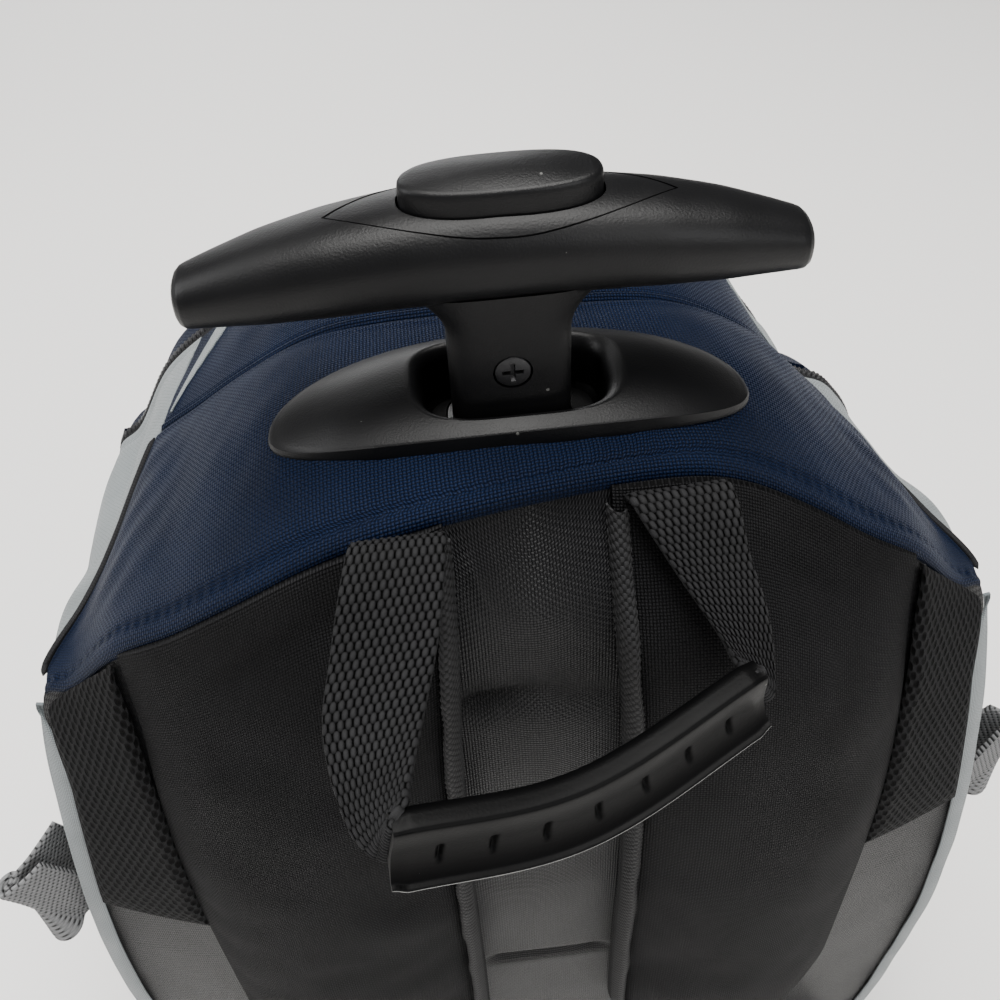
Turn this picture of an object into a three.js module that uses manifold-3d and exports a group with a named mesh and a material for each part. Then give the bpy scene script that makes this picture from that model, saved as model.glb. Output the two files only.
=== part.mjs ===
// A wheeled backpack with a single-stem telescopic handle, stored down.
// Units are millimetres. +Z is up, +Y is the front of the bag, and the wearer's back is on the -Y side.
// The pieces are placed round the handle's axis and the group is then moved, so that the origin is the
// middle of the footprint.
import * as THREE from 'three';
import { mergeVertices } from 'three/addons/utils/BufferGeometryUtils.js';
import Module from 'manifold-3d';

const wasm = await Module();
wasm.setup();

const { Vector2, Vector3 } = THREE;
const { clamp, lerp, smoothstep } = THREE.MathUtils;

// Clearances and walls
const GAP = 0.3; // between neighbouring pieces
const RUN = 0.4; // round what slides or turns
const FABRIC = 2.4; // padded cloth of the bag's panels
const PAD_LIFT = 0.8; // between the back panel and what lies on it

// Body of the bag
const HALF_WIDTH = 157;
const SEAM_Z = 70; // top edge of the base tray
const TOP_Z = 445; // highest point of the back seam
const RISE = TOP_Z - SEAM_Z;
const EDGE_BACK_Y = -54; // the panel edge's furthest place towards the wearer
const EDGE_SWEEP = 46; // how far forward the upper corners sit from there
const BACK_BELLY = 18.5; // how far the middle of the back stands out from its top seam
const FRONT_Y = 150;
const FRONT_ROUND = 36;
const FRONT_DOME = 9;
const SIDE_BULGE = 5;

// Yoke over the top, and its seams
const TIP_X = 136; // pointed corner
const TIP_Y = 0;
const JOIN_X = 103; // where the yoke's side edge meets its front seam
const JOIN_Y = 57;
const SEAM_MID_Y = 35;
const SEAM_POWER = 1.6;
const ZIP_X = 92; // side panel's upper edge at the zip
const ZIP_Y = 100;
const ZIP_WIDTH = 8;
const ZIP_TEETH = 1.1;
const ZIP_WALL = 1.6;
const SLIDER_Z = 300; // where the zip's sliders rest
const SLIDER_HALF = 6;
const SLIDER_HALF_DEEP = 4.2;
const SLIDER_TALL = 4.2;
const TAB_LENGTH = 22;
const TAB_HALF = 3;
const TAB_WALL = 1.4;
const PIPING_R = 1.2;

// Back: channel, straps and spacer mesh
const STRAP_X = 62; // middle of a strap at the top
const STRAP_SPREAD = 12; // how much wider apart the straps end
const STRAP_HALF = 43;
const STRAP_END_Z = 112;
const STRAP_PAD = 11;
const STRAP_EDGE = 4;
const STRAP_SEWN = 2.6;
const STRAP_INSET = 1.5; // top edge below the back seam
const BINDING_WIDTH = 7;
const BINDING_WALL = 1.2;
const MESH_HEM_Z = 271;
const MESH_X = 108;
const MESH_WALL = 3.4;
const WEBBING_WIDTH = 25;
const WEBBING_WALL = 1.6;
const WEBBING_SPREAD = 38; // how much wider apart the webbing ends than the straps
const LOCK_HALF = 17;
const LOCK_TALL = 16;
const LOCK_WALL = 4.8;
const LOCK_BAR = 3.2;
const LOCK_SLOT = 3.4;

// Trolley handle
const RIM_Z = 450; // middle of the bezel's rim
const BEZEL_HALF = 58.2;
const BEZEL_HALF_DEEP = 22.2;
const BEZEL_DROOP = 7;
const BEZEL_RIM = 3;
const BEZEL_DOME = 6.5;
const POCKET_HALF = 22;
const POCKET_HALF_DEEP = 13;
const POCKET_FLOOR_Z = 438;
const COLLAR_WALL = 2;
const COLLAR_BOTTOM_Z = 425;
const TUBE_HALF = 15;
const TUBE_HALF_DEEP = 11;
const TUBE_WALL = 1.4;
const TRAVEL = 260; // of each sliding tube
const TUBE_LAP = 128; // kept inside when drawn out
const GRIP_HALF = 70;
const GRIP_Z = RIM_Z + 39.7;
const GRIP_DEEP = 27.6;
const GRIP_TALL = 23;
const GRIP_DROOP = 7.7;
const STEM_HALF = 13.8;
const STEM_HALF_DEEP = 11;
const STEM_GRIP_LAP = 8; // how far the stem reaches up into the grip
const SOCKET_DEEP = 31;
const INSERT_HALF = 36.5;
const INSERT_HALF_DEEP = 12;
const INSERT_FLOOR = 3.5; // above the grip's middle line
const BUTTON_HALF = 20.8;
const BUTTON_HALF_DEEP = 8.2;
const BUTTON_TOP = 18; // above the grip's middle line
const BUTTON_FOOT = -2;
const BUTTON_CROWN = 2.4;
const BUTTON_TRAVEL = 3;
const SCREW_R = 4.1;
const SCREW_Z = RIM_Z + 12;
const SCREW_HEAD = 1.8;
const SCREW_SLOT = 1.1;

// Grab handle
const GRAB_WALL = 8;
const GRAB_WIDTH = 21;

// Side loops and pockets
const LOOP_TOP_Z = 288;
const LOOP_WIDTH = 38;
const LOOP_REACH_X = 173;
const LOOP_WALL = 2;
const POCKET_TOP_Z = 176;
const SIDE_POCKET_OUT = 14;
const SIDE_POCKET_WALL = 1.6;

// Front pocket
const FRONT_POCKET_HALF = 106;
const FRONT_POCKET_LOW_Z = 92;
const FRONT_POCKET_TOP_Z = 292;
const FRONT_POCKET_OUT = 17;
const FRONT_POCKET_WALL = 2;

// Base, wheels and feet
const BASE_Z = 24;
const BASE_WALL = 3;
const WHEEL_R = 29;
const WHEEL_WIDTH = 20;
const WHEEL_X = 127;
const WHEEL_Y = -38;
const HOUSING_WALL = 2.6;
const HOUSING_ROOM = 2.2; // between tread and housing
const CHEEK_ROOM = 1; // between wheel and cheek
const AXLE_R = 3;
const AXLE_HEAD_R = 5.5;
const AXLE_HEAD = 2.4;
const FOOT_X = 95;
const FOOT_Y = 118;
const FOOT_HALF = 22;
const FOOT_HALF_DEEP = 10;

const LEFT = -1;
const RIGHT = 1;
const SIDES = [[LEFT, 'left'], [RIGHT, 'right']];
const BAG_MIDDLE = new Vector3(0, 50, 220);

// Seam of the back panel, from the top middle down to the base.
// out: share of HALF_WIDTH. up: share of RISE. ahead: share of EDGE_SWEEP.
const SEAM_ROWS = [
  { out: 0, up: 1, ahead: 0.4 },
  { out: 0.22, up: 0.99, ahead: 0.44 },
  { out: 0.32, up: 0.975, ahead: 0.48 },
  { out: 0.45, up: 0.938, ahead: 0.56 },
  { out: 0.56, up: 0.901, ahead: 0.64 },
  { out: 0.68, up: 0.861, ahead: 0.76 },
  { out: 0.81, up: 0.797, ahead: 0.92 },
  { out: 0.868, up: 0.779, ahead: 1 },
  { out: 0.896, up: 0.74, ahead: 0.93 },
  { out: 0.93, up: 0.64, ahead: 0.74 },
  { out: 0.98, up: 0.48, ahead: 0.61 },
  { out: 1, up: 0.32, ahead: 0.52 },
  { out: 0.985, up: 0.133, ahead: 0.478 },
  { out: 0.955, up: 0, ahead: 0.435 },
];

// How full the middle of the back is. up: share of RISE. full: share of BACK_BELLY.
const BELLY_ROWS = [
  { up: 0, full: 0.62 },
  { up: 0.133, full: 0.78 },
  { up: 0.35, full: 0.92 },
  { up: 0.61, full: 1 },
  { up: 0.75, full: 0.9 },
  { up: 0.88, full: 0.62 },
  { up: 0.96, full: 0.28 },
  { up: 1, full: 0 },
];

// Sections of the grip. at: share of GRIP_HALF. thick: share of the middle section.
const GRIP_ROWS = [
  { at: 0, thick: 1 },
  { at: 0.33, thick: 0.93 },
  { at: 0.52, thick: 0.885 },
  { at: 0.72, thick: 0.76 },
  { at: 0.88, thick: 0.59 },
  { at: 0.955, thick: 0.49 },
  { at: 0.99, thick: 0.36 },
  { at: 1, thick: 0.2 },
];

// Profile of the base tray. up: share of the tray's height. tuck: share of the height that it draws in.
const BASE_ROWS = [
  { up: 1, tuck: 0 },
  { up: 0.55, tuck: 0.05 },
  { up: 0.26, tuck: 0.16 },
  { up: 0.08, tuck: 0.33 },
  { up: 0, tuck: 0.56 },
];

// Reads a table by straight lines between its rows.
function readRows(rows, key, at, value) {
  const last = rows.length - 1;
  const rising = rows[last][key] > rows[0][key];
  const ordered = rising ? rows : [...rows].reverse();
  if (at <= ordered[0][key]) return ordered[0][value];
  for (let i = 1; i <= last; i += 1) {
    const low = ordered[i - 1];
    const high = ordered[i];
    if (at <= high[key]) {
      return lerp(low[value], high[value], (at - low[key]) / (high[key] - low[key]));
    }
  }
  return ordered[last][value];
}

// Closed meshes

// Makes one closed body from points and triangles, with its faces pointing out.
function body(points, triangles) {
  const positions = new Float32Array(points.length * 3);
  points.forEach((point, i) => point.toArray(positions, i * 3));
  let geometry = new THREE.BufferGeometry();
  geometry.setAttribute('position', new THREE.BufferAttribute(positions, 3));
  geometry.setIndex(triangles.flat());
  geometry = mergeVertices(geometry, 1e-4);
  const place = geometry.getAttribute('position');
  const index = geometry.getIndex().array;
  const kept = [];
  let volume = 0;
  const corner = [new Vector3(), new Vector3(), new Vector3()];
  for (let i = 0; i < index.length; i += 3) {
    const [a, b, c] = [index[i], index[i + 1], index[i + 2]];
    if (a === b || b === c || c === a) continue;
    kept.push([a, b, c]);
    corner[0].fromBufferAttribute(place, a);
    corner[1].fromBufferAttribute(place, b);
    corner[2].fromBufferAttribute(place, c);
    volume += corner[0].dot(corner[1].clone().cross(corner[2]));
  }
  geometry.setIndex(kept.map(([a, b, c]) => (volume < 0 ? [a, c, b] : [a, b, c])).flat());
  return geometry;
}

// Joins closed rings of points in order and closes the first and the last with a fan.
function skin(rings) {
  const count = rings[0].length;
  const points = rings.flat();
  const triangles = [];
  for (let j = 0; j + 1 < rings.length; j += 1) {
    for (let i = 0; i < count; i += 1) {
      const next = (i + 1) % count;
      const low = j * count;
      const high = low + count;
      triangles.push([low + i, low + next, high + next], [low + i, high + next, high + i]);
    }
  }
  [[0, rings[0], true], [(rings.length - 1) * count, rings[rings.length - 1], false]].forEach(
    ([start, ring, flip]) => {
      const middle = ring.reduce((sum, point) => sum.add(point), new Vector3()).divideScalar(count);
      const centre = points.push(middle) - 1;
      for (let i = 0; i < count; i += 1) {
        const next = (i + 1) % count;
        triangles.push(flip ? [centre, start + next, start + i] : [centre, start + i, start + next]);
      }
    },
  );
  return body(points, triangles);
}

// A sheet with thickness: outer(u, v) and inner(u, v) give its two faces, for u and v from 0 to 1.
function slab(outer, inner, columns, rows) {
  const points = [];
  const at = (i, j, side) => (j * (columns + 1) + i) * 2 + side;
  for (let j = 0; j <= rows; j += 1) {
    for (let i = 0; i <= columns; i += 1) {
      points.push(outer(i / columns, j / rows), inner(i / columns, j / rows));
    }
  }
  const triangles = [];
  const quad = (a, b, c, d) => triangles.push([a, b, c], [a, c, d]);
  for (let j = 0; j < rows; j += 1) {
    for (let i = 0; i < columns; i += 1) {
      quad(at(i, j, 0), at(i + 1, j, 0), at(i + 1, j + 1, 0), at(i, j + 1, 0));
      quad(at(i, j, 1), at(i, j + 1, 1), at(i + 1, j + 1, 1), at(i + 1, j, 1));
    }
    quad(at(0, j, 0), at(0, j + 1, 0), at(0, j + 1, 1), at(0, j, 1));
    quad(at(columns, j, 0), at(columns, j, 1), at(columns, j + 1, 1), at(columns, j + 1, 0));
  }
  for (let i = 0; i < columns; i += 1) {
    quad(at(i, 0, 0), at(i, 0, 1), at(i + 1, 0, 1), at(i + 1, 0, 0));
    quad(at(i, rows, 0), at(i + 1, rows, 0), at(i + 1, rows, 1), at(i, rows, 1));
  }
  return body(points, triangles);
}

// The inner face of a sheet of the bag: outer moved in by the wall, and never under the base seam.
function inward(outer, wall) {
  const step = 0.01;
  return (u, v) => {
    const cu = clamp(u, step, 1 - step);
    const cv = clamp(v, step, 1 - step);
    const across = outer(cu + step, cv).sub(outer(cu - step, cv));
    const along = outer(cu, cv + step).sub(outer(cu, cv - step));
    const normal = across.cross(along).normalize();
    if (normal.dot(outer(cu, cv).sub(BAG_MIDDLE)) < 0) normal.negate();
    const point = outer(u, v).addScaledVector(normal, -wall);
    point.z = Math.max(point.z, SEAM_Z + GAP);
    return point;
  };
}

function toManifold(geometry) {
  const bare = geometry.clone();
  bare.deleteAttribute('normal');
  bare.deleteAttribute('uv');
  const merged = mergeVertices(bare, 1e-4);
  return new wasm.Manifold(new wasm.Mesh({
    numProp: 3,
    vertProperties: new Float32Array(merged.getAttribute('position').array),
    triVerts: new Uint32Array(merged.getIndex().array),
  }));
}

function fromManifold(solid) {
  const mesh = solid.getMesh();
  const geometry = new THREE.BufferGeometry();
  geometry.setAttribute('position', new THREE.BufferAttribute(new Float32Array(mesh.vertProperties), 3));
  geometry.setIndex(new THREE.BufferAttribute(new Uint32Array(mesh.triVerts), 1));
  return geometry;
}

function cut(geometry, ...tools) {
  return fromManifold(tools.reduce((solid, tool) => solid.subtract(toManifold(tool)), toManifold(geometry)));
}

function join(geometry, ...others) {
  return fromManifold(others.reduce((solid, other) => solid.add(toManifold(other)), toManifold(geometry)));
}

function common(geometry, other) {
  return fromManifold(toManifold(geometry).intersect(toManifold(other)));
}

// A closed ring at height z: an oval whose corners fill out as the power rises.
function oval(halfX, halfY, z, count, power) {
  const ring = [];
  for (let i = 0; i < count; i += 1) {
    const turn = (i + 0.5) / count * Math.PI * 2;
    const [c, s] = [Math.cos(turn), Math.sin(turn)];
    ring.push(new Vector3(
      halfX * Math.sign(c) * Math.abs(c) ** (2 / power),
      halfY * Math.sign(s) * Math.abs(s) ** (2 / power),
      z,
    ));
  }
  return ring;
}

const TUBE_POWER = 5;
const TUBE_COUNT = 16;

function column(halfX, halfY, lowZ, highZ, power = TUBE_POWER, count = TUBE_COUNT) {
  return skin([oval(halfX, halfY, lowZ, count, power), oval(halfX, halfY, highZ, count, power)]);
}

function block(lowX, highX, lowY, highY, lowZ, highZ) {
  const geometry = new THREE.BoxGeometry(highX - lowX, highY - lowY, highZ - lowZ);
  geometry.translate((lowX + highX) / 2, (lowY + highY) / 2, (lowZ + highZ) / 2);
  return geometry;
}

// A cylinder along X
function rod(radius, lowX, highX, y, z, sides) {
  const geometry = new THREE.CylinderGeometry(radius, radius, highX - lowX, sides);
  geometry.rotateZ(Math.PI / 2);
  geometry.translate((lowX + highX) / 2, y, z);
  return geometry;
}

// Shape of the bag

const seamPoints = SEAM_ROWS.map(({ out, up, ahead }) => new Vector3(
  out * HALF_WIDTH,
  EDGE_BACK_Y + ahead * EDGE_SWEEP,
  SEAM_Z + GAP + up * (RISE - GAP),
));
const mirrored = seamPoints.slice(1).reverse().map((point) => new Vector3(-point.x, point.y, point.z));
const seamCurve = new THREE.CatmullRomCurve3([...mirrored, ...seamPoints], false, 'centripetal');
seamCurve.arcLengthDivisions = 600;

// The right half of the seam, from 0 at the top middle to 1 at the base
const seamAt = (share) => seamCurve.getPointAt(0.5 + 0.5 * clamp(share, 0, 1));

// The share of the half seam at which a measure that grows along it reaches a value
function seamShare(measure, value, highest = 1) {
  let low = 0;
  let high = highest;
  for (let i = 0; i < 40; i += 1) {
    const middle = (low + high) / 2;
    if (measure(seamAt(middle)) < value) low = middle;
    else high = middle;
  }
  return (low + high) / 2;
}

const outward = (point) => point.x;
const downward = (point) => -point.z;
const tipShare = seamShare(outward, TIP_X, 0.6);
const archAt = (x) => seamAt(seamShare(outward, Math.abs(x), tipShare));
const edgeAtHeight = (z) => seamAt(seamShare(downward, -z));

function backY(x, z) {
  const up = clamp((z - SEAM_Z) / RISE, 0, 1);
  const middle = seamPoints[0].y - BACK_BELLY * readRows(BELLY_ROWS, 'up', up, 'full');
  const edge = edgeAtHeight(z);
  const share = edge.x < 1 ? 0 : Math.min(1, Math.abs(x) / edge.x);
  return middle + (edge.y - middle) * share ** 2.2;
}

// How far the yoke stands over the seam's arch, so that it carries the bezel
function rimZ(x) {
  return RIM_Z - BEZEL_DROOP * Math.abs(x / BEZEL_HALF) ** 2.5;
}

function crown(x) {
  const inside = Math.min(Math.abs(x), BEZEL_HALF);
  const height = rimZ(inside) - BEZEL_RIM - GAP * 2 - archAt(inside).z;
  return height * (1 - smoothstep(Math.abs(x), BEZEL_HALF, TIP_X));
}

function yokeFrontY(x) {
  const out = Math.abs(x);
  if (out < JOIN_X) return lerp(SEAM_MID_Y, JOIN_Y, (out / JOIN_X) ** SEAM_POWER);
  return lerp(JOIN_Y, TIP_Y, (out - JOIN_X) / (TIP_X - JOIN_X));
}

// The side panel's upper edge, seen from above
function borderX(y) {
  if (y < JOIN_Y) return lerp(TIP_X, JOIN_X, clamp((y - TIP_Y) / (JOIN_Y - TIP_Y), 0, 1));
  return lerp(JOIN_X, ZIP_X, (y - JOIN_Y) / (ZIP_Y - JOIN_Y));
}

// The bag's front as nested copies of its outline: share 1 is the outline, 0 the middle of the base seam
const FACE_SHARE = 1 - FRONT_ROUND / HALF_WIDTH;

function frontYAt(share) {
  if (share > FACE_SHARE) {
    const turn = (share - FACE_SHARE) / (1 - FACE_SHARE);
    return FRONT_Y - FRONT_ROUND + FRONT_ROUND * Math.sqrt(Math.max(0, 1 - turn * turn));
  }
  return FRONT_Y + FRONT_DOME * (1 - (share / FACE_SHARE) ** 2) ** 2;
}

function faceShare(x, z) {
  const angle = Math.atan2(Math.abs(x), Math.max(z - SEAM_Z - GAP, 1e-6));
  const edge = seamAt(seamShare((point) => Math.atan2(point.x, point.z - SEAM_Z - GAP), angle));
  return Math.hypot(x, z - SEAM_Z - GAP) / Math.hypot(edge.x, edge.z - SEAM_Z - GAP);
}

const frontY = (x, z) => frontYAt(Math.min(1, faceShare(x, z)));

// Panels

function backPanel() {
  const face = (depth) => (u, v) => {
    const edge = seamAt(v ** 1.3);
    const x = (2 * u - 1) * edge.x;
    return new Vector3(x, backY(x, edge.z) + depth, edge.z);
  };
  return slab(face(0), face(FABRIC), 12, 16);
}

const yokeBackY = (x) => archAt(x).y + FABRIC + GAP;

function topPanel() {
  const outer = (u, v) => {
    const x = (2 * u - 1) * (TIP_X - GAP);
    const y = lerp(yokeBackY(x), yokeFrontY(x) - GAP, v);
    return new Vector3(x, y, archAt(x).z + crown(x) * Math.sin(Math.PI * v) ** 0.6);
  };
  const sheet = slab(outer, inward(outer, FABRIC), 22, 6);
  const hole = column(POCKET_HALF + COLLAR_WALL + GAP, POCKET_HALF_DEEP + COLLAR_WALL + GAP,
    COLLAR_BOTTOM_Z, RIM_Z);
  return cut(sheet, hole);
}

function frontGusset() {
  const outer = (u, v) => {
    const side = 2 * u - 1;
    const x = side * (lerp(JOIN_X, ZIP_X, v) - GAP);
    const y = lerp(yokeFrontY(side * (JOIN_X - GAP)) + GAP / 2, ZIP_Y - GAP / 2, v);
    return new Vector3(x, y, archAt(x).z);
  };
  return slab(outer, inward(outer, FABRIC), 22, 2);
}

const SIDE_COLUMNS = 11;

// A point of a side panel: u runs down from the piping to the base, v from the back to the zip
function sidePoint(side, u, v, lift = 0) {
  const start = seamShare(outward, borderX(lerp(TIP_Y, ZIP_Y, v)), tipShare);
  const seamLength = seamCurve.getLength() / 2;
  const share = lerp(start + GAP * 2.5 / seamLength, 1, u);
  const edge = seamAt(lerp(tipShare + GAP / seamLength, 1, u));
  const point = seamAt(share);
  const tangent = seamCurve.getTangentAt(0.5 + 0.5 * share);
  const normal = new Vector2(-tangent.z, tangent.x).normalize();
  const bulge = lift + SIDE_BULGE * Math.sin(Math.PI * v) * Math.max(0, Math.sin(Math.PI * u)) ** 0.7;
  const rearY = lerp(TIP_Y, edge.y + FABRIC + GAP, Math.min(1, u * SIDE_COLUMNS));
  return new Vector3(
    side * (point.x + normal.x * bulge),
    lerp(rearY, ZIP_Y - GAP / 2, v),
    point.z + normal.y * bulge,
  );
}

function sidePanel(side) {
  const outer = (u, v) => sidePoint(side, u, v);
  return slab(outer, inward(outer, FABRIC), SIDE_COLUMNS, 5);
}

function frontPanel() {
  const straight = 1 / 9;
  const round = 5 / 9;
  const rimY = ZIP_Y + ZIP_WIDTH + GAP / 2;
  const outer = (u, v) => {
    let share = 1;
    let y = lerp(rimY, FRONT_Y - FRONT_ROUND, v / straight);
    if (v > straight) {
      const turn = Math.min(1, (v - straight) / (round - straight)) * Math.PI / 2;
      share = FACE_SHARE + (1 - FACE_SHARE) * Math.cos(turn);
      y = FRONT_Y - FRONT_ROUND + FRONT_ROUND * Math.sin(turn);
    }
    if (v > round) {
      share = FACE_SHARE * (1 - (v - round) / (1 - round));
      y = frontYAt(share);
    }
    const edge = seamCurve.getPointAt(u);
    const lowZ = SEAM_Z + GAP;
    return new Vector3(edge.x * share, y, lowZ + (edge.z - lowZ) * share);
  };
  const thick = inward(outer, FABRIC);
  const inner = (u, v) => (v === 1 ? thick(0.5, 1) : thick(u, v));
  return slab(outer, inner, 24, 9);
}

function mainZip() {
  const outer = (u, v) => {
    const edge = seamCurve.getPointAt(u);
    const tangent = seamCurve.getTangentAt(u);
    const normal = new Vector2(-tangent.z, tangent.x).normalize();
    const raised = Math.abs(v - 0.5) < 0.2 ? ZIP_TEETH : 0;
    return new Vector3(
      edge.x + normal.x * raised,
      lerp(ZIP_Y + GAP / 2, ZIP_Y + ZIP_WIDTH - GAP / 2, v),
      edge.z + normal.y * raised,
    );
  };
  const flat = (u, v) => {
    const point = outer(u, 0);
    point.y = lerp(ZIP_Y + GAP / 2, ZIP_Y + ZIP_WIDTH - GAP / 2, v);
    return point;
  };
  return slab(outer, inward(flat, ZIP_WALL), 26, 3);
}

// Slider and pull tab of the main zip, pulled down to the side of the bag
function zipSlider(side) {
  const share = seamShare(downward, -SLIDER_Z);
  const point = seamAt(share);
  const tangent = seamCurve.getTangentAt(0.5 + 0.5 * share);
  const slider = skin([
    oval(SLIDER_HALF, SLIDER_HALF_DEEP, 0, 10, 3),
    oval(SLIDER_HALF, SLIDER_HALF_DEEP, SLIDER_TALL * 0.7, 10, 3),
    oval(SLIDER_HALF * 0.67, SLIDER_HALF_DEEP * 0.62, SLIDER_TALL, 10, 3),
  ]);
  const tab = block(-SLIDER_HALF * 0.67, TAB_LENGTH, -TAB_HALF, TAB_HALF,
    SLIDER_TALL - TAB_WALL / 2, SLIDER_TALL + TAB_WALL / 2);
  const solid = join(slider, tab);
  const lift = ZIP_TEETH + GAP;
  solid.rotateY(Math.atan2(-tangent.z, tangent.x));
  solid.translate(point.x - tangent.z * lift, ZIP_Y + ZIP_WIDTH / 2, point.z + tangent.x * lift);
  if (side === LEFT) solid.applyMatrix4(new THREE.Matrix4().makeScale(-1, 1, 1));
  return side === LEFT ? turned(solid) : solid;
}

function piping(side) {
  const points = [];
  const steps = 10;
  for (let i = 0; i <= steps; i += 1) {
    const y = lerp(TIP_Y - 4, JOIN_Y - 1, i / steps);
    const share = seamShare(outward, borderX(y), tipShare);
    const point = seamAt(share);
    const tangent = seamCurve.getTangentAt(0.5 + 0.5 * share);
    const lift = PIPING_R + GAP * 2;
    points.push(new Vector3(side * (point.x - tangent.z * lift), y, point.z + tangent.x * lift));
  }
  const round = new THREE.Shape().absarc(0, 0, PIPING_R, 0, Math.PI * 2);
  return new THREE.ExtrudeGeometry(round, {
    steps: 12, curveSegments: 3, bevelEnabled: false, extrudePath: new THREE.CatmullRomCurve3(points),
  });
}

// What lies on the back panel. place(u, v) gives x and z, lift and wall its height over the panel.
function backPad(place, lift, wall, columns, rows) {
  const face = (height) => (u, v) => {
    const { x, z } = place(u, v);
    return new Vector3(x, backY(x, z) - height(u, v), z);
  };
  return slab(face((u, v) => lift(u, v) + wall(u, v)), face(lift), columns, rows);
}

function meshPad(side) {
  const inset = 3;
  const innerTop = archAt(MESH_X).z - inset;
  const outerTop = seamAt(tipShare).z - inset;
  return backPad((u, v) => {
    const outerZ = lerp(MESH_HEM_Z, outerTop, v);
    const outerX = edgeAtHeight(outerZ).x - inset;
    return { x: side * lerp(MESH_X, outerX, u), z: lerp(lerp(MESH_HEM_Z, innerTop, v), outerZ, u) };
  }, () => PAD_LIFT, (u, v) => MESH_WALL * (0.6 + 0.4 * Math.sin(Math.PI * u) * Math.sin(Math.PI * v)), 3, 6);
}

// A strap's outline on the back: across from -1 at the channel to 1, down from 0 to 1
function strapPlace(side, across, down) {
  const half = STRAP_HALF * (1 - 0.42 * smoothstep(down, 0.72, 1));
  const x = STRAP_X + STRAP_SPREAD * down ** 2 + across * half;
  return { x: side * x, z: lerp(archAt(x).z - STRAP_INSET, STRAP_END_Z, down) };
}

function strapWall(across, down) {
  const padded = STRAP_EDGE + (STRAP_PAD - STRAP_EDGE) * (1 - across ** 4);
  return lerp(STRAP_SEWN, padded, smoothstep(down, 0, 0.16) * (1 - 0.5 * smoothstep(down, 0.93, 1)));
}

// The outer face of the strap near its top
function strapFaceY(x, z) {
  const topZ = archAt(x).z - STRAP_INSET;
  const down = clamp((topZ - z) / (topZ - STRAP_END_Z), 0, 1);
  const across = clamp((Math.abs(x) - STRAP_X) / STRAP_HALF, -1, 1);
  return backY(x, z) - PAD_LIFT - strapWall(across, down);
}

function shoulderStrap(side) {
  return backPad(
    (u, v) => strapPlace(side, 2 * u - 1, v),
    () => PAD_LIFT,
    (u, v) => strapWall(2 * u - 1, v),
    6, 13,
  );
}

function strapBinding(side) {
  const across = (u) => lerp(-1, -1 + BINDING_WIDTH / STRAP_HALF, u);
  const top = 0.05;
  const low = 0.97;
  return backPad(
    (u, v) => strapPlace(side, across(u), lerp(top, low, v)),
    (u, v) => PAD_LIFT * 2 + strapWall(across(u), lerp(top, low, v)),
    () => BINDING_WALL,
    1, 13,
  );
}

function ladderLock(side) {
  const { x } = strapPlace(side, 0, 1);
  const low = STRAP_END_Z - GAP - LOCK_TALL;
  const y = backY(x, low + LOCK_TALL / 2) - PAD_LIFT - LOCK_WALL / 2 - 1;
  const frame = block(-LOCK_HALF, LOCK_HALF, -LOCK_WALL / 2, LOCK_WALL / 2, 0, LOCK_TALL);
  const eye = (low) => block(-WEBBING_WIDTH / 2 - GAP, WEBBING_WIDTH / 2 + GAP, -LOCK_WALL, LOCK_WALL,
    low, low + LOCK_SLOT);
  const slot = eye(LOCK_BAR);
  const upper = eye(LOCK_TALL - LOCK_BAR - LOCK_SLOT);
  const solid = cut(frame, slot, upper);
  solid.translate(Math.abs(x), y, low);
  if (side === LEFT) solid.applyMatrix4(new THREE.Matrix4().makeScale(-1, 1, 1));
  return side === LEFT ? turned(solid) : solid;
}

// Turns the faces of a mirrored mesh the right way out again
function turned(geometry) {
  const index = geometry.getIndex().array;
  const swapped = [];
  for (let i = 0; i < index.length; i += 3) swapped.push(index[i], index[i + 2], index[i + 1]);
  geometry.setIndex(swapped);
  return geometry;
}

function strapWebbing(side) {
  const { x } = strapPlace(RIGHT, 0, 1);
  const topZ = STRAP_END_Z - GAP - LOCK_TALL - GAP;
  const lowX = x + WEBBING_SPREAD;
  return backPad((u, v) => ({
    x: side * (lerp(x, lowX, v) + (u - 0.5) * WEBBING_WIDTH),
    z: lerp(topZ, SEAM_Z + 2, v),
  }), () => PAD_LIFT, () => WEBBING_WALL, 2, 4);
}

// Base, wheels and feet

function traySection(z, inset) {
  const half = seamPoints[seamPoints.length - 1].x - inset;
  const sideY = seamPoints[seamPoints.length - 1].y;
  const frontStartY = FRONT_Y - FRONT_ROUND;
  const ring = [];
  const backSteps = 8;
  for (let i = 0; i < backSteps; i += 1) {
    const share = lerp(-1, 1, i / backSteps);
    ring.push(new Vector3(share * half, backY(share * (half + inset), SEAM_Z + GAP) + inset, z));
  }
  const sideSteps = 4;
  for (let i = 0; i < sideSteps; i += 1) {
    ring.push(new Vector3(half, lerp(sideY + inset, frontStartY, i / sideSteps), z));
  }
  const frontSteps = 12;
  const squeeze = 1 - inset / (frontYAt(0) - frontStartY);
  for (let i = 0; i < frontSteps; i += 1) {
    const share = Math.cos(Math.PI * i / frontSteps);
    ring.push(new Vector3(share * half, lerp(frontStartY, frontYAt(Math.abs(share)), squeeze), z));
  }
  for (let i = 0; i < sideSteps; i += 1) {
    ring.push(new Vector3(-half, lerp(frontStartY, sideY + inset, i / sideSteps), z));
  }
  return ring;
}

const TRAY_HEIGHT = SEAM_Z - BASE_Z;
const HOUSING_HALF = WHEEL_WIDTH / 2 + CHEEK_ROOM + HOUSING_WALL;
const HOUSING_R = WHEEL_R + HOUSING_ROOM + HOUSING_WALL;

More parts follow.
